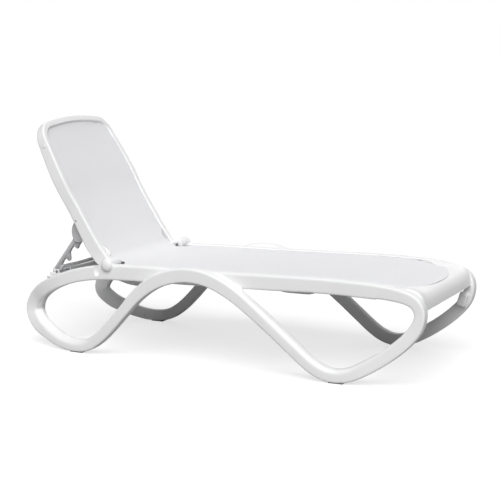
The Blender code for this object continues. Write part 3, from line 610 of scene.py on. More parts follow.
def material(name):
    """The lounger's materials, each made once from the panel's settings."""
    if name not in MATERIALS:
        look = bpy.context.scene.lounger_look
        makers = {
            "white_resin": lambda: resin_material("white_resin", look.resin_colour,
                                                  look.resin_roughness, look.grain_scale,
                                                  0.10, 1.05),
            "prop_resin": lambda: resin_material("prop_resin", look.prop_colour, 0.48,
                                                 look.grain_scale, 0.12, 1.08),
            "bush_resin": lambda: resin_material("bush_resin", scaled(look.prop_colour, 0.85),
                                                 0.4, 1200.0, 0.0, 1.05),
            "mesh_fabric": lambda: fabric_material("mesh_fabric", look.sling_colour,
                                                   look.weave_pitch),
            "sling_cord": lambda: resin_material("sling_cord", scaled(look.sling_colour, 0.95),
                                                 0.55, 1200.0, 0.0, 1.0),
            "stainless_steel": lambda: steel_material("stainless_steel", (0.62, 0.62, 0.63),
                                                      (1.0, 0.05, 1.0)),
            "screw_steel": lambda: steel_material("screw_steel", (0.66, 0.66, 0.67),
                                                  (1.0, 1.0, 1.0)),
            "grey_rubber": lambda: rubber_material("grey_rubber", look.rubber_colour),
        }
        MATERIALS[name] = makers[name]()
    return MATERIALS[name]


# ------------------------------------------------------------------ settings shown in the panel
class LoungerShape(bpy.types.PropertyGroup):
    voxel: FloatProperty(name="Mould detail", description="Size of the moulded skin's cells",
                         default=0.0035, min=0.002, max=0.01, unit="LENGTH")
    softness: IntProperty(name="Edge softness", description="Passes that round the moulded edges",
                          default=4, min=0, max=30)
    sling_thickness: FloatProperty(name="Sling thickness", description="Thickness of the mesh",
                                   default=0.0012, min=0.0005, max=0.004, unit="LENGTH")
    seat_sag: FloatProperty(name="Seat sag", description="How far the seat's middle hangs down",
                            default=0.005, min=0.0, max=0.03, unit="LENGTH")
    back_sag: FloatProperty(name="Back sag", description="How far the back's middle gives way",
                            default=0.003, min=0.0, max=0.02, unit="LENGTH")
    edge_radius: FloatProperty(name="Small edges", description="Edge radius of beams and arms",
                               default=0.0016, min=0.0, max=0.004, unit="LENGTH")


class LoungerLook(bpy.types.PropertyGroup):
    resin_colour: FloatVectorProperty(name="Resin", description="Colour of the moulded frames",
                                      subtype="COLOR", default=(0.80, 0.80, 0.805), min=0, max=1)
    prop_colour: FloatVectorProperty(name="Prop", description="Colour of the prop and its rail",
                                     subtype="COLOR", default=(0.50, 0.50, 0.51), min=0, max=1)
    sling_colour: FloatVectorProperty(name="Sling", description="Colour of the coated mesh",
                                      subtype="COLOR", default=(0.78, 0.78, 0.80), min=0, max=1)
    rubber_colour: FloatVectorProperty(name="Rubber", description="Colour of pads and rollers",
                                       subtype="COLOR", default=(0.10, 0.10, 0.11), min=0, max=1)
    resin_roughness: FloatProperty(name="Resin roughness", description="Gloss of the resin",
                                   default=0.40, min=0.1, max=0.9)
    grain_scale: FloatProperty(name="Grain", description="Grain bumps to a metre",
                               default=900.0, min=100.0, max=3000.0)
    weave_pitch: FloatProperty(name="Weave pitch", description="Distance between two yarns",
                               default=0.0016, min=0.0008, max=0.005, unit="LENGTH")


# ------------------------------------------------------------------ side frames
def leg_shell():
    rings = []
    rows = spline(LEG, 6)
    for i, (u, z, width, inset, facet) in enumerate(rows):
        a, b = rows[max(i - 1, 0)], rows[min(i + 1, len(rows) - 1)]
        along = Vector((b[0] - a[0], b[1] - a[1])).normalized()
        normal = Vector((-along[1], along[0]))
        outer = HALF_WIDTH - inset
        inner = outer - BAND
        facet = max(facet, 0.003)
        corners = ((-width / 2, inner), (-width / 2, outer), (width / 2 - facet, outer),
                   (width / 2, outer - facet), (width / 2, inner))
        section = rounded(corners, (0.005, 0.006, 0.008, 0.008, 0.005))
        rings.append([place(u + normal[0] * across, y, z + normal[1] * across)
                      for across, y in section])
    return sweep(rings)


def rail_shell():
    rings = []
    for u, top, depth in RAIL_CURVE:
        corners = ((RAIL_IN, top), (RAIL_OUT, top), (RAIL_OUT, top - depth),
                   (RAIL_IN, top - depth))
        section = rounded(corners, (0.003, 0.008, 0.006, 0.004))
        rings.append([place(u, y, z) for y, z in section])
    return sweep(rings)


def rail_groove():
    """The sling's groove in the rail's inner face."""
    rings = []
    for u, top, _ in spline(RAIL, 4):
        rings.append([place(u, y, top - drop) for y, drop in
                      ((RAIL_IN - 0.004, 0.006), (RAIL_IN + 0.0076, 0.006),
                       (RAIL_IN + 0.0076, 0.0136), (RAIL_IN - 0.004, 0.0136))])
    return sweep(rings)


def scoop():
    """Hollow in the rail's outer face, just before the hinge's boss."""
    bm = bmesh.new()
    bmesh.ops.create_uvsphere(bm, u_segments=40, v_segments=24, radius=1.0)
    bmesh.ops.scale(bm, vec=(0.028, 0.012, 0.030), verts=bm.verts[:])
    bmesh.ops.rotate(bm, matrix=Matrix.Rotation(-0.80, 3, "Z"), verts=bm.verts[:])
    return moved(bm, place(0.082, RAIL_OUT + 0.004, 0.369))


def loop_tab():
    """Small block on the inner face of the foot loop, under the end of the crossbar."""
    bm = brick((-0.019, -0.011, -0.030), (0.019, 0.012, 0.030), 0.004)
    return moved(bm, place(1.514, 0.283, 0.243), Matrix.Rotation(0.30, 3, "Y"))


def side_frame(shape):
    hinge_round = rod(HINGE, 0.030, RAIL_OUT - 0.02, RAIL_OUT + 0.0012)
    frame_left = moulded("frame_left", [leg_shell(), rail_shell(), hinge_round, loop_tab()],
                         shape.voxel, shape.softness)
    roller = middle("transport_roller_left")
    low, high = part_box("transport_roller_left")
    half = (high.y - low.y) / 2 + 0.0015
    reach = (high.z - low.z) / 2 + 0.0025
    floor = brick((-2, -1, -0.2), (2, 1, PAD_TOP))
    pocket = brick((roller.x - reach, roller.y - half, -0.05),
                   (roller.x + reach, roller.y + half, roller.z + reach), 0.002, 2)
    pin = middle("hinge_pin_left")
    saddle = rod(pin, 0.0305, RAIL_IN - 0.02, RAIL_OUT - 0.0085)
    bore = rod(pin, 0.0063, RAIL_OUT - 0.03, RAIL_OUT + 0.03, 32)
    axle = rod(roller, 0.0043, roller.y - 0.06, roller.y + half + 0.006, 24)
    cut(frame_left, [saddle, bore, rail_groove(), floor, pocket, axle, scoop()])
    return frame_left


class LOUNGER_OT_side_frames(bpy.types.Operator):
    """Moulds the two side frames: leg band, loops, rail and the seats of the hinges"""
    bl_idname = "lounger.side_frames"
    bl_label = "Side frames"

    def execute(self, context):
        left = side_frame(context.scene.lounger_shape)
        right = mirrored(left, "frame_right")
        for tag, obj in (("left", left), ("right", right)):
            shade(obj, 42.0)
            finish_piece(obj, "frame", "white_resin", material("white_resin"),
                         "side_frame_" + tag)
        return {"FINISHED"}


# ------------------------------------------------------------------ back frame
def rim_rows():
    """The rim from its left foot to its right: s, y, bow, depth, width."""
    half = [(s, outer - width / 2, bow, depth, width)
            for s, bow, depth, outer, width in BACK_LINE if s < CORNER_S + 0.001]
    top_s = BACK_TOP + BACK_RISE - BACK_LINE[-1][4] / 2
    reach_s, reach_y = top_s - ARCH_RISE - CORNER_S, half[-1][1] - CORNER_Y
    for step in range(6):
        turn = math.radians(90 * (step + 1) / 6.5)
        s = CORNER_S + reach_s * math.sin(turn)
        _, bow, depth, _, width = along(BACK_CURVE, s)
        half.append((s, CORNER_Y + reach_y * math.cos(turn), bow, depth, width))
    for share in (0.85, 0.6, 0.3):
        s = top_s - ARCH_RISE * share ** 2
        _, bow, depth, _, width = along(BACK_CURVE, s)
        half.append((s, CORNER_Y * share, bow, depth, width))
    _, bow, depth, _, width = along(BACK_CURVE, top_s)
    return half + [(top_s, 0.0, bow, depth, width)] + [(s, -y, *rest)
                                                       for s, y, *rest in reversed(half)]


def rim_shell():
    rings = []
    rows = spline(rim_rows(), 5)
    for i, (s, y, bow, depth, width) in enumerate(rows):
        a, b = rows[max(i - 1, 0)], rows[min(i + 1, len(rows) - 1)]
        way = Vector((b[0] - a[0], b[1] - a[1])).normalized()
        corners = ((width / 2, bow), (width / 2, bow + depth), (-width / 2, bow + depth),
                   (-width / 2, bow))
        section = rounded(corners, (0.006, 0.006, 0.005, 0.004))
        rings.append([back_place(s - way[1] * across, y + way[0] * across, d)
                      for across, d in section])
    return sweep(rings)


CORD_START, CORD_END = 0.058, 0.590


def back_groove(side):
    """Groove for the sling's edge in the rim's inner face."""
    rings = []
    for k in range(25):
        s = CORD_START - 0.003 + (CORD_END + 0.004 - CORD_START) * k / 24
        inner, bow = back_inner(s), back_bow(s)
        rings.append([back_place(s, side * (inner + y), bow + d) for y, d in
                      ((-0.004, 0.004), (-0.004, 0.0116), (0.0076, 0.0116), (0.0076, 0.004))])
    return sweep(rings)


def back_cord(side):
    """Cord in the sling's hem, lying in the rim's groove."""
    rings = []
    for k in range(41):
        s = CORD_START + (CORD_END - CORD_START) * k / 40
        inner, bow = back_inner(s), back_bow(s)
        rings.append([back_place(s, side * (inner + 0.0041 + 0.0032 * math.cos(turn)),
                                 bow + 0.0078 + 0.0032 * math.sin(turn))
                      for turn in (math.tau * i / 12 for i in range(12))])
    return sweep(rings)


class LOUNGER_OT_back_frame(bpy.types.Operator):
    """Moulds the back's frame: rim, arched top bar and the knuckles on the hinge pins"""
    bl_idname = "lounger.back_frame"
    bl_label = "Back frame"

    def execute(self, context):
        shape = context.scene.lounger_shape
        shells = [rim_shell()]
        cutters = []
        for _, side in SIDES:
            low, high = sorted((side * (RIM_IN + 0.012), side * (RAIL_OUT - 0.0093)))
            shells.append(rod(HINGE, 0.0272, low, high))
            cutters.append(rod(HINGE, 0.0086, low - 0.05, high + 0.05, 32))
            cutters.append(back_groove(side))
        obj = moulded("back_frame_skin", shells, shape.voxel * 0.85, shape.softness)
        shade(cut(obj, cutters), 42.0)
        finish_piece(obj, "backrest", "white_resin", material("white_resin"), "back_frame")
        for tag, side in SIDES:
            obj = shade(new_object("back_cord_" + tag, back_cord(side)), 60.0)
            finish_piece(obj, "backrest", "sling_cord", material("sling_cord"),
                         "back_sling_cord_" + tag)
        return {"FINISHED"}


# ------------------------------------------------------------------ sling
SLING_DEPTH = 0.0065            # sling behind the back's front plane and under the rails' tops
BEND_S = 0.060                  # where the sling leaves the back's plane
BEND_U = 0.194                  # where it reaches the seat's plane
FOOT_SIDE_U = 1.360             # the sling's foot end at its sides
FOOT_BULGE = 0.155              # how much farther it reaches in the middle
# the sling's height over the foot crossbar: u, z
FOOT_LINE = ((1.300, 0.3975), (1.360, 0.3905), (1.400, 0.3875), (1.440, 0.3850),
             (1.480, 0.3815), (1.520, 0.3745))
TUCK = 0.0015                   # edges inside their grooves
# the sling's half width round the bend, along it from the bend's start
SLING_HALF = ((-0.045, 0.2545), (-0.030, 0.2400), (-0.012, 0.2300), (0.005, 0.2310),
              (0.022, 0.2430), (0.045, 0.2470), (0.058, 0.2400), (0.072, 0.2250),
              (0.086, 0.2270), (0.100, 0.2480), (0.112, 0.2760), (0.122, 0.2890),
              (0.132, RAIL_IN + 0.0005), (0.150, RAIL_IN + 0.0005))
SLING_HALF_CURVE = spline(SLING_HALF, 6)


def sling_half(length):
    """Half width of the sling at a length from the bend's start."""
    if length < SLING_HALF[0][0]:
        s = BEND_S - length
        return back_inner(min(s, CORNER_S)) + TUCK - 0.002 * smooth_step((0.135 - s) / 0.03)
    return along(SLING_HALF_CURVE, length)[1]


def smooth_step(t):
    t = min(1.0, max(0.0, t))
    return t * t * (3 - 2 * t)


def foot_reach(across):
    """Station of the sling's foot end; across is 0 in the middle and 1 at its sides."""
    return FOOT_SIDE_U + FOOT_BULGE * max(0.0, 1 - min(1.0, abs(across)) ** 2.4) ** 0.6


def sling_path():
    """Rows of (length along the sling, x, z), from the back's top to the foot end."""
    rises = [BACK_TOP * (1 - k / 80) + BEND_S * k / 80 for k in range(81)]
    points = [back_place(s, 0.0, back_bow(s) + SLING_DEPTH) for s in rises]
    start, end = points[-1], place(BEND_U, 0.0, rail_top(BEND_U) - SLING_DEPTH)
    corner = start - UP_BACK * ((start.z - end.z) / UP_BACK.z)
    for k in range(1, 25):
        t = k / 24
        points.append(start.lerp(corner, t).lerp(corner.lerp(end, t), t))
    steps = 60
    for k in range(1, steps + 1):
        u = BEND_U + (FOOT_LINE[0][0] - 0.04 - BEND_U) * k / steps
        points.append(place(u, 0.0, rail_top(u) - SLING_DEPTH))
    points += [place(u, 0.0, z) for u, z in spline(FOOT_LINE, 6)]
    rows, length = [], 0.0
    for a, b in zip([points[0]] + points, points):
        length += (b - a).length
        rows.append([length, b.x, b.z])
    bend = rows[80][0]
    return [[length - bend, x, z] for length, x, z in rows]


def sling_top(y):
    """How far up the back the sling reaches at y."""
    top = BACK_TOP + BACK_RISE - BACK_LINE[-1][4] + TUCK
    if y <= CORNER_Y:
        return top - ARCH_RISE * (y / CORNER_Y) ** 2
    share = min(1.0, (y - CORNER_Y) / (back_inner(CORNER_S) + TUCK - CORNER_Y))
    return CORNER_S + (top - ARCH_RISE - CORNER_S) * math.sqrt(1 - share ** 2)


def build_sling(shape):
    rows = sling_path()
    seat_rows = [row for row in rows if row[0] > 0.12]
    bm = bmesh.new()
    bmesh.ops.create_grid(bm, x_segments=520, y_segments=72, size=1.0)
    chart = bm.loops.layers.uv.new("Cloth")
    flat = {}
    for vert in bm.verts:
        across = math.sin(vert.co.y * math.pi / 2) * 0.35 + vert.co.y * 0.65
        share = (vert.co.x + 1) / 2
        begin = BEND_S - sling_top(abs(across) * (back_inner(CORNER_S) + TUCK))
        end = along(seat_rows, place(foot_reach(across), 0, 0).x, 1)[0]
        length = begin + (end - begin) * share
        _, x, z = along(rows, length)
        y = across * sling_half(length)
        crown = max(0.0, 1 - across ** 2)
        low = crown * shape.seat_sag * smooth_step((length - 0.10) / 0.25) \
            * smooth_step((end - length) / 0.30)
        deep = crown * shape.back_sag * smooth_step((-0.02 - length) / 0.20) \
            * smooth_step((length - begin) / 0.15)
        flat[vert] = (y, length)
        vert.co = Vector((x, y, z)) + Vector((0, 0, -low)) + BEHIND * deep
    for face in bm.faces:
        for loop in face.loops:
            loop[chart].uv = flat[loop.vert]
    bmesh.ops.recalc_face_normals(bm, faces=bm.faces[:])
    if bm.faces[0].normal.z < 0:
        bmesh.ops.reverse_faces(bm, faces=bm.faces[:])
    obj = new_object("sling", bm)
    thick = obj.modifiers.new("Thickness", "SOLIDIFY")
    thick.thickness = shape.sling_thickness
    thick.offset = -1.0
    return shade(apply_modifiers(obj), 60.0)


class LOUNGER_OT_sling(bpy.types.Operator):
    """Stretches the coated mesh down the back, round the bend and along the seat"""
    bl_idname = "lounger.sling"
    bl_label = "Sling"

    def execute(self, context):
        obj = build_sling(context.scene.lounger_shape)
        finish_piece(obj, None, "mesh_fabric", material("mesh_fabric"), "back_sling",
                     "seat_sling")
        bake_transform(obj)
        for tag, _ in SIDES:
            paint("seat_sling_cord_" + tag, "sling_cord")
        return {"FINISHED"}


def paint(node, name):
    """Gives one of the parts its material, for good."""
    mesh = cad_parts[node].data
    mesh.materials.clear()
    mesh.materials.append(material(name))


# ------------------------------------------------------------------ cross beams
def foot_bar():
    """Rounded waterfall at the foot end; its ledge under the sling follows the sling's end."""
    line = spline(((1.320, 0.3900), (1.360, 0.3890), (1.400, 0.3873), (1.440, 0.3850),
                   (1.480, 0.3815), (1.508, 0.3760), (1.528, 0.3640), (1.540, 0.3460),
                   (1.5445, 0.3250), (1.5455, 0.3030)), 6)
    low_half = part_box("foot_crossbar")[1].y
    bm = bmesh.new()
    bmesh.ops.create_grid(bm, x_segments=56, y_segments=64, size=1.0)
    total = sum((Vector(b) - Vector(a)).length for a, b in zip(line, line[1:]))
    rows, length = [], 0.0
    for a, b in zip([line[0]] + line, line):
        length += (Vector(b) - Vector(a)).length
        rows.append([length, b[0], b[1]])
    for vert in bm.verts:
        across = vert.co.y
        start_u = foot_reach(across) - 0.030
        begin = along(rows, start_u, 1)[0]
        at = begin + (total - begin) * (vert.co.x + 1) / 2
        _, u, z = along(rows, at)
        under = 0.0022 * smooth_step((start_u + 0.034 - u) / 0.006)
        banked = 0.010 * smooth_step((abs(across) - 0.80) / 0.20) * smooth_step((z - 0.33) / 0.05)
        vert.co = place(u, across * low_half, z - under + banked)
    bmesh.ops.recalc_face_normals(bm, faces=bm.faces[:])
    if sum(face.normal.z for face in bm.faces) < 0:
        bmesh.ops.reverse_faces(bm, faces=bm.faces[:])
    obj = new_object("foot_bar", bm)
    wall = obj.modifiers.new("Wall", "SOLIDIFY")
    wall.thickness = 0.005
    wall.offset = -1.0
    edge = obj.modifiers.new("Edges", "BEVEL")
    edge.width = 0.0014
    edge.segments = 3
    edge.limit_method = "ANGLE"
    edge.angle_limit = math.radians(50)
    return shade(apply_modifiers(obj), 45.0)


BEAM_CELL = 0.0022              # size of the moulded skin's cells on beams and lugs


def beam_clearance():
    """Room round the prop's arms and under the lowered rim, at the head beam's ends."""
    low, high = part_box("head_beam")
    before, after = low.x - 0.01, high.x + 0.01
    rooms = ((before, after, 0.190, 0.2420, BAR.z - 0.004),
             (before, BAR.x - 0.013, 0.190, 0.2480, BAR.z - 0.004),
             (BAR.x + 0.013, after, 0.190, 0.2480, BAR.z - 0.004),
             (before, after, 0.2477, 0.300, BAR.z - 0.018))
    boxes = []
    for _, side in SIDES:
        for x0, x1, y0, y1, z in rooms:
            near, far = sorted((side * y0, side * y1))
            boxes.append(brick((x0, near, z), (x1, far, high.z + 0.01)))
    return boxes


class LOUNGER_OT_cross_beams(bpy.types.Operator):
    """Makes the beams that tie the side frames together, and the waterfall at the foot end"""
    bl_idname = "lounger.cross_beams"
    bl_label = "Cross beams"

    def execute(self, context):
        for node in ("head_beam", "seat_beam_rear", "seat_beam_front"):
            obj = moulded(node + "_moulded", [part_shell(node)], BEAM_CELL, 3)
            if node == "head_beam":
                cut(obj, beam_clearance())
            shade(obj, 42.0)
            finish_piece(obj, "frame", "white_resin", material("white_resin"), node)
        finish_piece(foot_bar(), "frame", "white_resin", material("white_resin"),
                     "foot_crossbar")
        return {"FINISHED"}


# ------------------------------------------------------------------ prop and rear rail
# the lugs that carry the prop: distance up the back and behind its plane
LUG = ((0.150, 0.052), (0.160, 0.101), (0.173, 0.140), (0.192, 0.148), (0.225, 0.138),
       (0.250, 0.112), (0.256, 0.080), (0.252, 0.052))


def rear_rail():
    """Rear rail with its two curved lugs, and the bosses that stand against the rim."""
    shells, holes = [part_shell("back_rear_rail")], []
    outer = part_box("back_rear_rail")[1].y
    line = [row[:2] for row in spline(LUG, 4)]
    for _, side in SIDES:
        shells.append(sweep([[back_place(s, side * y, d) for s, d in line]
                             for y in (outer - 0.010, outer)]))
        for s, d in ((0.246, 0.066), (0.165, 0.060)):
            centre = back_place(s, 0.0, d)
            wall = back_inner(s) + 0.0005
            shells.append(rod(centre, 0.011, *sorted((side * (outer - 0.005), side * wall))))
        pin = middle("prop_pin_left")
        holes.append(rod(pin, 0.0053, *sorted((side * (outer - 0.02), side * (outer + 0.004)))))
    return cut(moulded("rear_rail_moulded", shells, BEAM_CELL, 3), holes)


class LOUNGER_OT_prop(bpy.types.Operator):
    """Rounds the prop's notched arms and the rear rail with its lugs, and finishes the steel"""
    bl_idname = "lounger.prop"
    bl_label = "Prop and rear rail"

    def execute(self, context):
        radius = context.scene.lounger_shape.edge_radius
        for tag, _ in SIDES:
            obj = rounded_copy("prop_arm_" + tag, "notched_arm_" + tag, radius * 0.8, 2)
            finish_piece(obj, "prop", "prop_resin", material("prop_resin"), "prop_arm_" + tag)
            paint("prop_pin_" + tag, "stainless_steel")
            paint("hinge_pin_" + tag, "stainless_steel")
            paint("roller_axle_" + tag, "stainless_steel")
            paint("hinge_bush_" + tag, "bush_resin")
        obj = shade(rear_rail(), 42.0)
        finish_piece(obj, "backrest", "prop_resin", material("prop_resin"), "back_rear_rail")
        paint("prop_cross_tube", "stainless_steel")
        paint("ratchet_bar", "stainless_steel")
        return {"FINISHED"}


# ------------------------------------------------------------------ hinge caps and buttons
def side_turn(side):
    """Turns a piece that points along +y to the lounger's given side."""
    return None if side > 0 else Matrix.Rotation(math.pi, 3, "Z")


BUTTON_S = 0.601                # stacking buttons' distance up the back


def cap_shell():
    """Domed cap: flange, a fine groove round it, then the dome."""
    low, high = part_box("hinge_cap_left")
    radius, height = (high.x - low.x) / 2, high.y - low.y
    profile = [(0.0, 0.0), (0.0, radius * 0.985), (0.0008, radius), (0.0022, radius),
               (0.0028, radius - 0.0006), (0.0028, radius - 0.0016), (0.0034, radius - 0.0016)]
    start = math.acos(0.0034 / height)
    for step in range(15):
        turn = start * (1 - step / 14)
        profile.append((height * math.cos(turn), (radius - 0.0016) * math.sin(turn)
                        / math.sin(start)))
    return turned(profile, 64)


def button_shell():
    low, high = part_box("stacking_button_left")
    radius, height = (high.z - low.z) / 2, high.y - low.y
    profile = ((0.0, 0.0), (0.0, radius - 0.0004), (0.0005, radius), (height * 0.45, radius),
               (height * 0.62, radius - 0.0006), (height * 0.66, radius - 0.0016),
               (height * 0.50, radius - 0.0028), (height * 0.42, radius - 0.0036),
               (height * 0.42, radius - 0.0048), (height * 0.60, radius - 0.0056),
               (height * 0.85, radius * 0.40), (height * 0.97, radius * 0.18), (height, 0.0))
    return turned(profile, 56)


class LOUNGER_OT_caps(bpy.types.Operator):
    """Turns the domed hinge caps and the stacking buttons high on the back"""
    bl_idname = "lounger.caps"
    bl_label = "Caps and buttons"

    def execute(self, context):
        for tag, side in SIDES:
            low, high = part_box("hinge_cap_" + tag)
            base = low.y if side > 0 else high.y
            bm = moved(cap_shell(), (HINGE.x, base, HINGE.z), side_turn(side))
            obj = shade(new_object("hinge_dome_" + tag, bm), 38.0)
            finish_piece(obj, "frame", "white_resin", material("white_resin"),
                         "hinge_cap_" + tag)
            centre = middle("stacking_button_" + tag) + UP_BACK * 0.008 + BEHIND * 0.011
            base = side * (back_outer(BUTTON_S) - 0.0008)
            bm = moved(button_shell(), (centre.x, base, centre.z), side_turn(side))
            obj = shade(new_object("button_" + tag, bm), 38.0)
            finish_piece(obj, "backrest", "white_resin", material("white_resin"),
                         "stacking_button_" + tag)
        return {"FINISHED"}


# ------------------------------------------------------------------ screws
SCREWS = {"head_beam_screw_": "frame", "seat_beam_rear_screw_": "frame",
          "seat_beam_front_screw_": "frame", "foot_crossbar_screw_": "frame",
          "rear_rail_screw_": "backrest"}


def screw(node, inward):
    """Pan head with a hexagon recess; its head points inward or outward from the lounger."""
    low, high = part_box(node)
    radius, height = (high.z - low.z) / 2, high.y - low.y
    centre = (low + high) / 2
    profile = [(0.0, 0.0), (0.0, radius), (height * 0.35, radius)]
    for step in range(1, 6):
        turn = math.radians(18 * step)
        profile.append((height * (0.35 + 0.65 * math.sin(turn)),
                        radius * (0.55 + 0.45 * math.cos(turn))))
    profile.append((height, 0.0))
    side = (1.0 if centre.y > 0 else -1.0) * (-1.0 if inward else 1.0)
    base = low.y if side > 0 else high.y
    if not inward:
        centre = centre + BEHIND * 0.012
        base = side * (back_outer(0.246) - 0.0010)
    obj = new_object(node.replace("screw", "pan_screw"),
                     moved(turned(profile, 32), (centre.x, base, centre.z), side_turn(side)))
    tip = base + side * height
    socket = rod(centre, radius * 0.42, tip - side * height * 0.55, tip + side * height, 6)
    return shade(cut(obj, [socket]), 35.0)


class LOUNGER_OT_screws(bpy.types.Operator):
    """Turns the screws at the beam ends and in the rear rail's lugs"""
    bl_idname = "lounger.screws"
    bl_label = "Screws"

    def execute(self, context):
        for stem, body in SCREWS.items():
            for tag, _ in SIDES:
                obj = screw(stem + tag, stem != "rear_rail_screw_")
                finish_piece(obj, body, "stainless_steel", material("screw_steel"), stem + tag)
        return {"FINISHED"}


# ------------------------------------------------------------------ rollers and pads
def roller_shell(node):
    low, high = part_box(node)
    radius, half = (high.z - low.z) / 2, (high.y - low.y) / 2
    centre = (low + high) / 2
    bore = 0.0048
    profile = ((-half * 0.9, bore), (-half * 0.9, 0.0085), (-half * 0.45, 0.0092),
               (-half * 0.45, radius - 0.0062), (-half * 0.92, radius - 0.0050),
               (-half, radius - 0.0040), (-half * 0.95, radius - 0.0012), (-half * 0.80, radius),
               (-half * 0.12, radius), (-half * 0.05, radius - 0.0008),
               (half * 0.05, radius - 0.0008), (half * 0.12, radius), (half * 0.80, radius),
               (half * 0.95, radius - 0.0012), (half, radius - 0.0040),
               (half * 0.92, radius - 0.0050), (half * 0.45, radius - 0.0062),
               (half * 0.45, 0.0092), (half * 0.9, 0.0085), (half * 0.9, bore))
    bm = bmesh.new()
    line = [bm.verts.new((r, a, 0.0)) for a, r in profile]
    edges = [bm.edges.new(pair) for pair in zip(line, line[1:] + line[:1])]
    bmesh.ops.spin(bm, geom=line + edges, angle=math.tau, steps=56, axis=(0, 1, 0),
                   cent=(0, 0, 0), use_merge=True)
    bmesh.ops.recalc_face_normals(bm, faces=bm.faces[:])
    holes = []
    for k in range(6):
        turn = math.tau * k / 6
        spot = Vector((0.0128 * math.cos(turn), 0.0, 0.0128 * math.sin(turn)))
        holes.append(rod(spot + Vector((centre.x, 0, centre.z)), 0.0022, centre.y - half,
                         centre.y + half, 20))
    return moved(bm, centre), holes


def pad_shell(node):
    low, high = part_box(node)
    body = brick(low, high, 0.0016, 3)
    grooves = []
    count = 6
    for k in range(count):
        x = low.x + (high.x - low.x) * (k + 1) / (count + 1)
        grooves.append(brick((x - 0.0012, low.y - 0.01, low.z - 0.002),
                             (x + 0.0012, high.y + 0.01, low.z + 0.0012)))
    return body, grooves


class LOUNGER_OT_ground_parts(bpy.types.Operator):
    """Makes the transport rollers and the rubber pads under the loops"""
    bl_idname = "lounger.ground_parts"
    bl_label = "Rollers and pads"

    def execute(self, context):
        for tag, _ in SIDES:
            node = "transport_roller_" + tag
            bm, holes = roller_shell(node)
            obj = shade(cut(new_object("roller_tyre_" + tag, bm), holes), 35.0)
            finish_piece(obj, "roller_" + tag, "grey_rubber", material("grey_rubber"), node)
            for place_name in ("head", "foot"):
                node = "foot_pad_{}_{}".format(place_name, tag)
                bm, grooves = pad_shell(node)
                obj = shade(cut(new_object("pad_{}_{}".format(place_name, tag), bm), grooves),
                            35.0)
                finish_piece(obj, "frame", "grey_rubber", material("grey_rubber"), node)
        return {"FINISHED"}


# ------------------------------------------------------------------ floor, lights and camera
CAMERA_PLACE = (2.496, -4.825, 1.335)
CAMERA_RIGHT = (0.8915, 0.4529, -0.0099)
CAMERA_UP = (-0.065, 0.1497, 0.9866)
CAMERA_BACK = (0.4484, -0.8789, 0.1629)
PAPER_GLOW = 0.68               # share of the floor's white that no shadow takes away
PAPER_SHADE = 0.36              # share of it that shadows take away


def sun(name, azimuth, elevation, spread, strength):
    """Broad distant light from azimuth degrees right of the front and elevation above the floor."""
    lamp = bpy.data.lights.new(name, "SUN")
    lamp.energy = strength
    lamp.angle = math.radians(spread)
    obj = bpy.data.objects.new(name, lamp)
    bpy.context.scene.collection.objects.link(obj)
    turn, rise = math.radians(azimuth), math.radians(elevation)
    towards = Vector((math.sin(turn) * math.cos(rise), -math.cos(turn) * math.cos(rise),
                      math.sin(rise)))
    obj.rotation_euler = towards.to_track_quat("Z", "Y").to_euler()
    return obj


def stage_paper():
    """Floor that looks white with pale shadows, and throws little light back up."""
    paper = bpy.data.materials.new("stage_paper")
    paper.use_nodes = True
    tree = paper.node_tree
    tree.nodes.clear()
    seen = add_node(tree, "ShaderNodeBsdfDiffuse", {"Color": (PAPER_SHADE,) * 3 + (1.0,)})
    glow = add_node(tree, "ShaderNodeEmission", {"Strength": PAPER_GLOW})
    both = add_node(tree, "ShaderNodeAddShader", {0: seen.outputs[0], 1: glow.outputs[0]})
    dim = add_node(tree, "ShaderNodeBsdfDiffuse", {"Color": (0.36, 0.36, 0.36, 1.0)})
    ray = add_node(tree, "ShaderNodeLightPath").outputs["Is Camera Ray"]
    mix = add_node(tree, "ShaderNodeMixShader", {0: ray, 1: dim.outputs[0], 2: both.outputs[0]})
    add_node(tree, "ShaderNodeOutputMaterial", {"Surface": mix.outputs[0]})
    return paper


def studio_world(strength):
    """White to the camera, dim to everything else."""
    world = bpy.data.worlds.new("studio")
    world.use_nodes = True
    tree = world.node_tree
    sky = tree.nodes["Background"]
    sky.inputs["Color"].default_value = (1.0, 1.0, 1.0, 1.0)
    ray = add_node(tree, "ShaderNodeLightPath").outputs["Is Camera Ray"]
    tree.links.new(span(tree, ray, 0.0, 1.0, strength, 1.0), sky.inputs["Strength"])
    return world


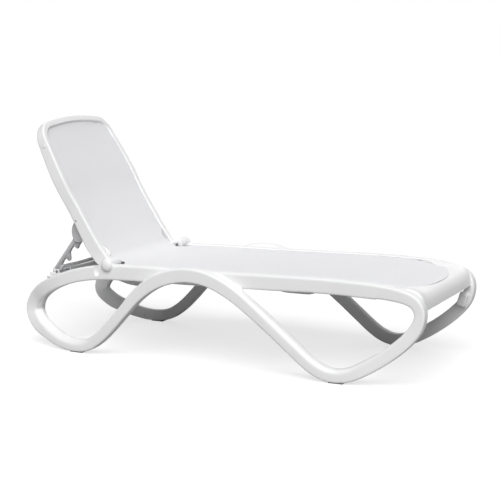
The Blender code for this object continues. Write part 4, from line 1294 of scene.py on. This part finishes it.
class LOUNGER_OT_stage(bpy.types.Operator):
    """Sets the pale floor, the soft lights and the camera"""
    bl_idname = "lounger.stage"
    bl_label = "Stage"

    def execute(self, context):
        scene = context.scene
        bm = bmesh.new()
        bmesh.ops.create_grid(bm, x_segments=1, y_segments=1, size=60.0)
        floor = new_object("floor", bm)
        floor.data.materials.append(stage_paper())
        scene.world = studio_world(0.12)
        sun("key", 22.0, 50.0, 50.0, 3.25)
        sun("side", 75.0, 22.0, 40.0, 0.45)
        sun("rear", 200.0, 35.0, 60.0, 0.7)
        lens = bpy.data.cameras.new("camera")
        lens.lens = 91.9
        lens.sensor_width = 36.0
        camera = bpy.data.objects.new("camera", lens)
        scene.collection.objects.link(camera)
        turn = Matrix((CAMERA_RIGHT, CAMERA_UP, CAMERA_BACK)).transposed().to_4x4()
        camera.matrix_world = Matrix.Translation(CAMERA_PLACE) @ turn
        scene.camera = camera
        scene.view_settings.view_transform = "Standard"
        return {"FINISHED"}


# ------------------------------------------------------------------ panel and registration
OPERATORS = (LOUNGER_OT_stage, LOUNGER_OT_side_frames, LOUNGER_OT_back_frame,
             LOUNGER_OT_cross_beams, LOUNGER_OT_prop, LOUNGER_OT_caps, LOUNGER_OT_screws,
             LOUNGER_OT_ground_parts, LOUNGER_OT_sling)


class LOUNGER_PT_panel(bpy.types.Panel):
    bl_label = "Sun Lounger"
    bl_idname = "LOUNGER_PT_panel"
    bl_space_type = "VIEW_3D"
    bl_region_type = "UI"
    bl_category = "Lounger"

    def draw(self, context):
        layout = self.layout
        for settings in (context.scene.lounger_shape, context.scene.lounger_look):
            box = layout.box()
            for key in settings.bl_rna.properties.keys():
                if key not in {"rna_type", "name"}:
                    box.prop(settings, key)
        for operator in OPERATORS:
            layout.operator(operator.bl_idname)


CLASSES = (LoungerShape, LoungerLook) + OPERATORS + (LOUNGER_PT_panel,)


def register():
    for cls in CLASSES:
        bpy.utils.register_class(cls)
    bpy.types.Scene.lounger_shape = PointerProperty(type=LoungerShape)
    bpy.types.Scene.lounger_look = PointerProperty(type=LoungerLook)


def unregister():
    del bpy.types.Scene.lounger_look
    del bpy.types.Scene.lounger_shape
    for cls in reversed(CLASSES):
        bpy.utils.unregister_class(cls)


def main():
    register()
    for operator in OPERATORS:
        group_name, name = operator.bl_idname.split(".")
        getattr(getattr(bpy.ops, group_name), name)()


if __name__ == "__main__":
    main()
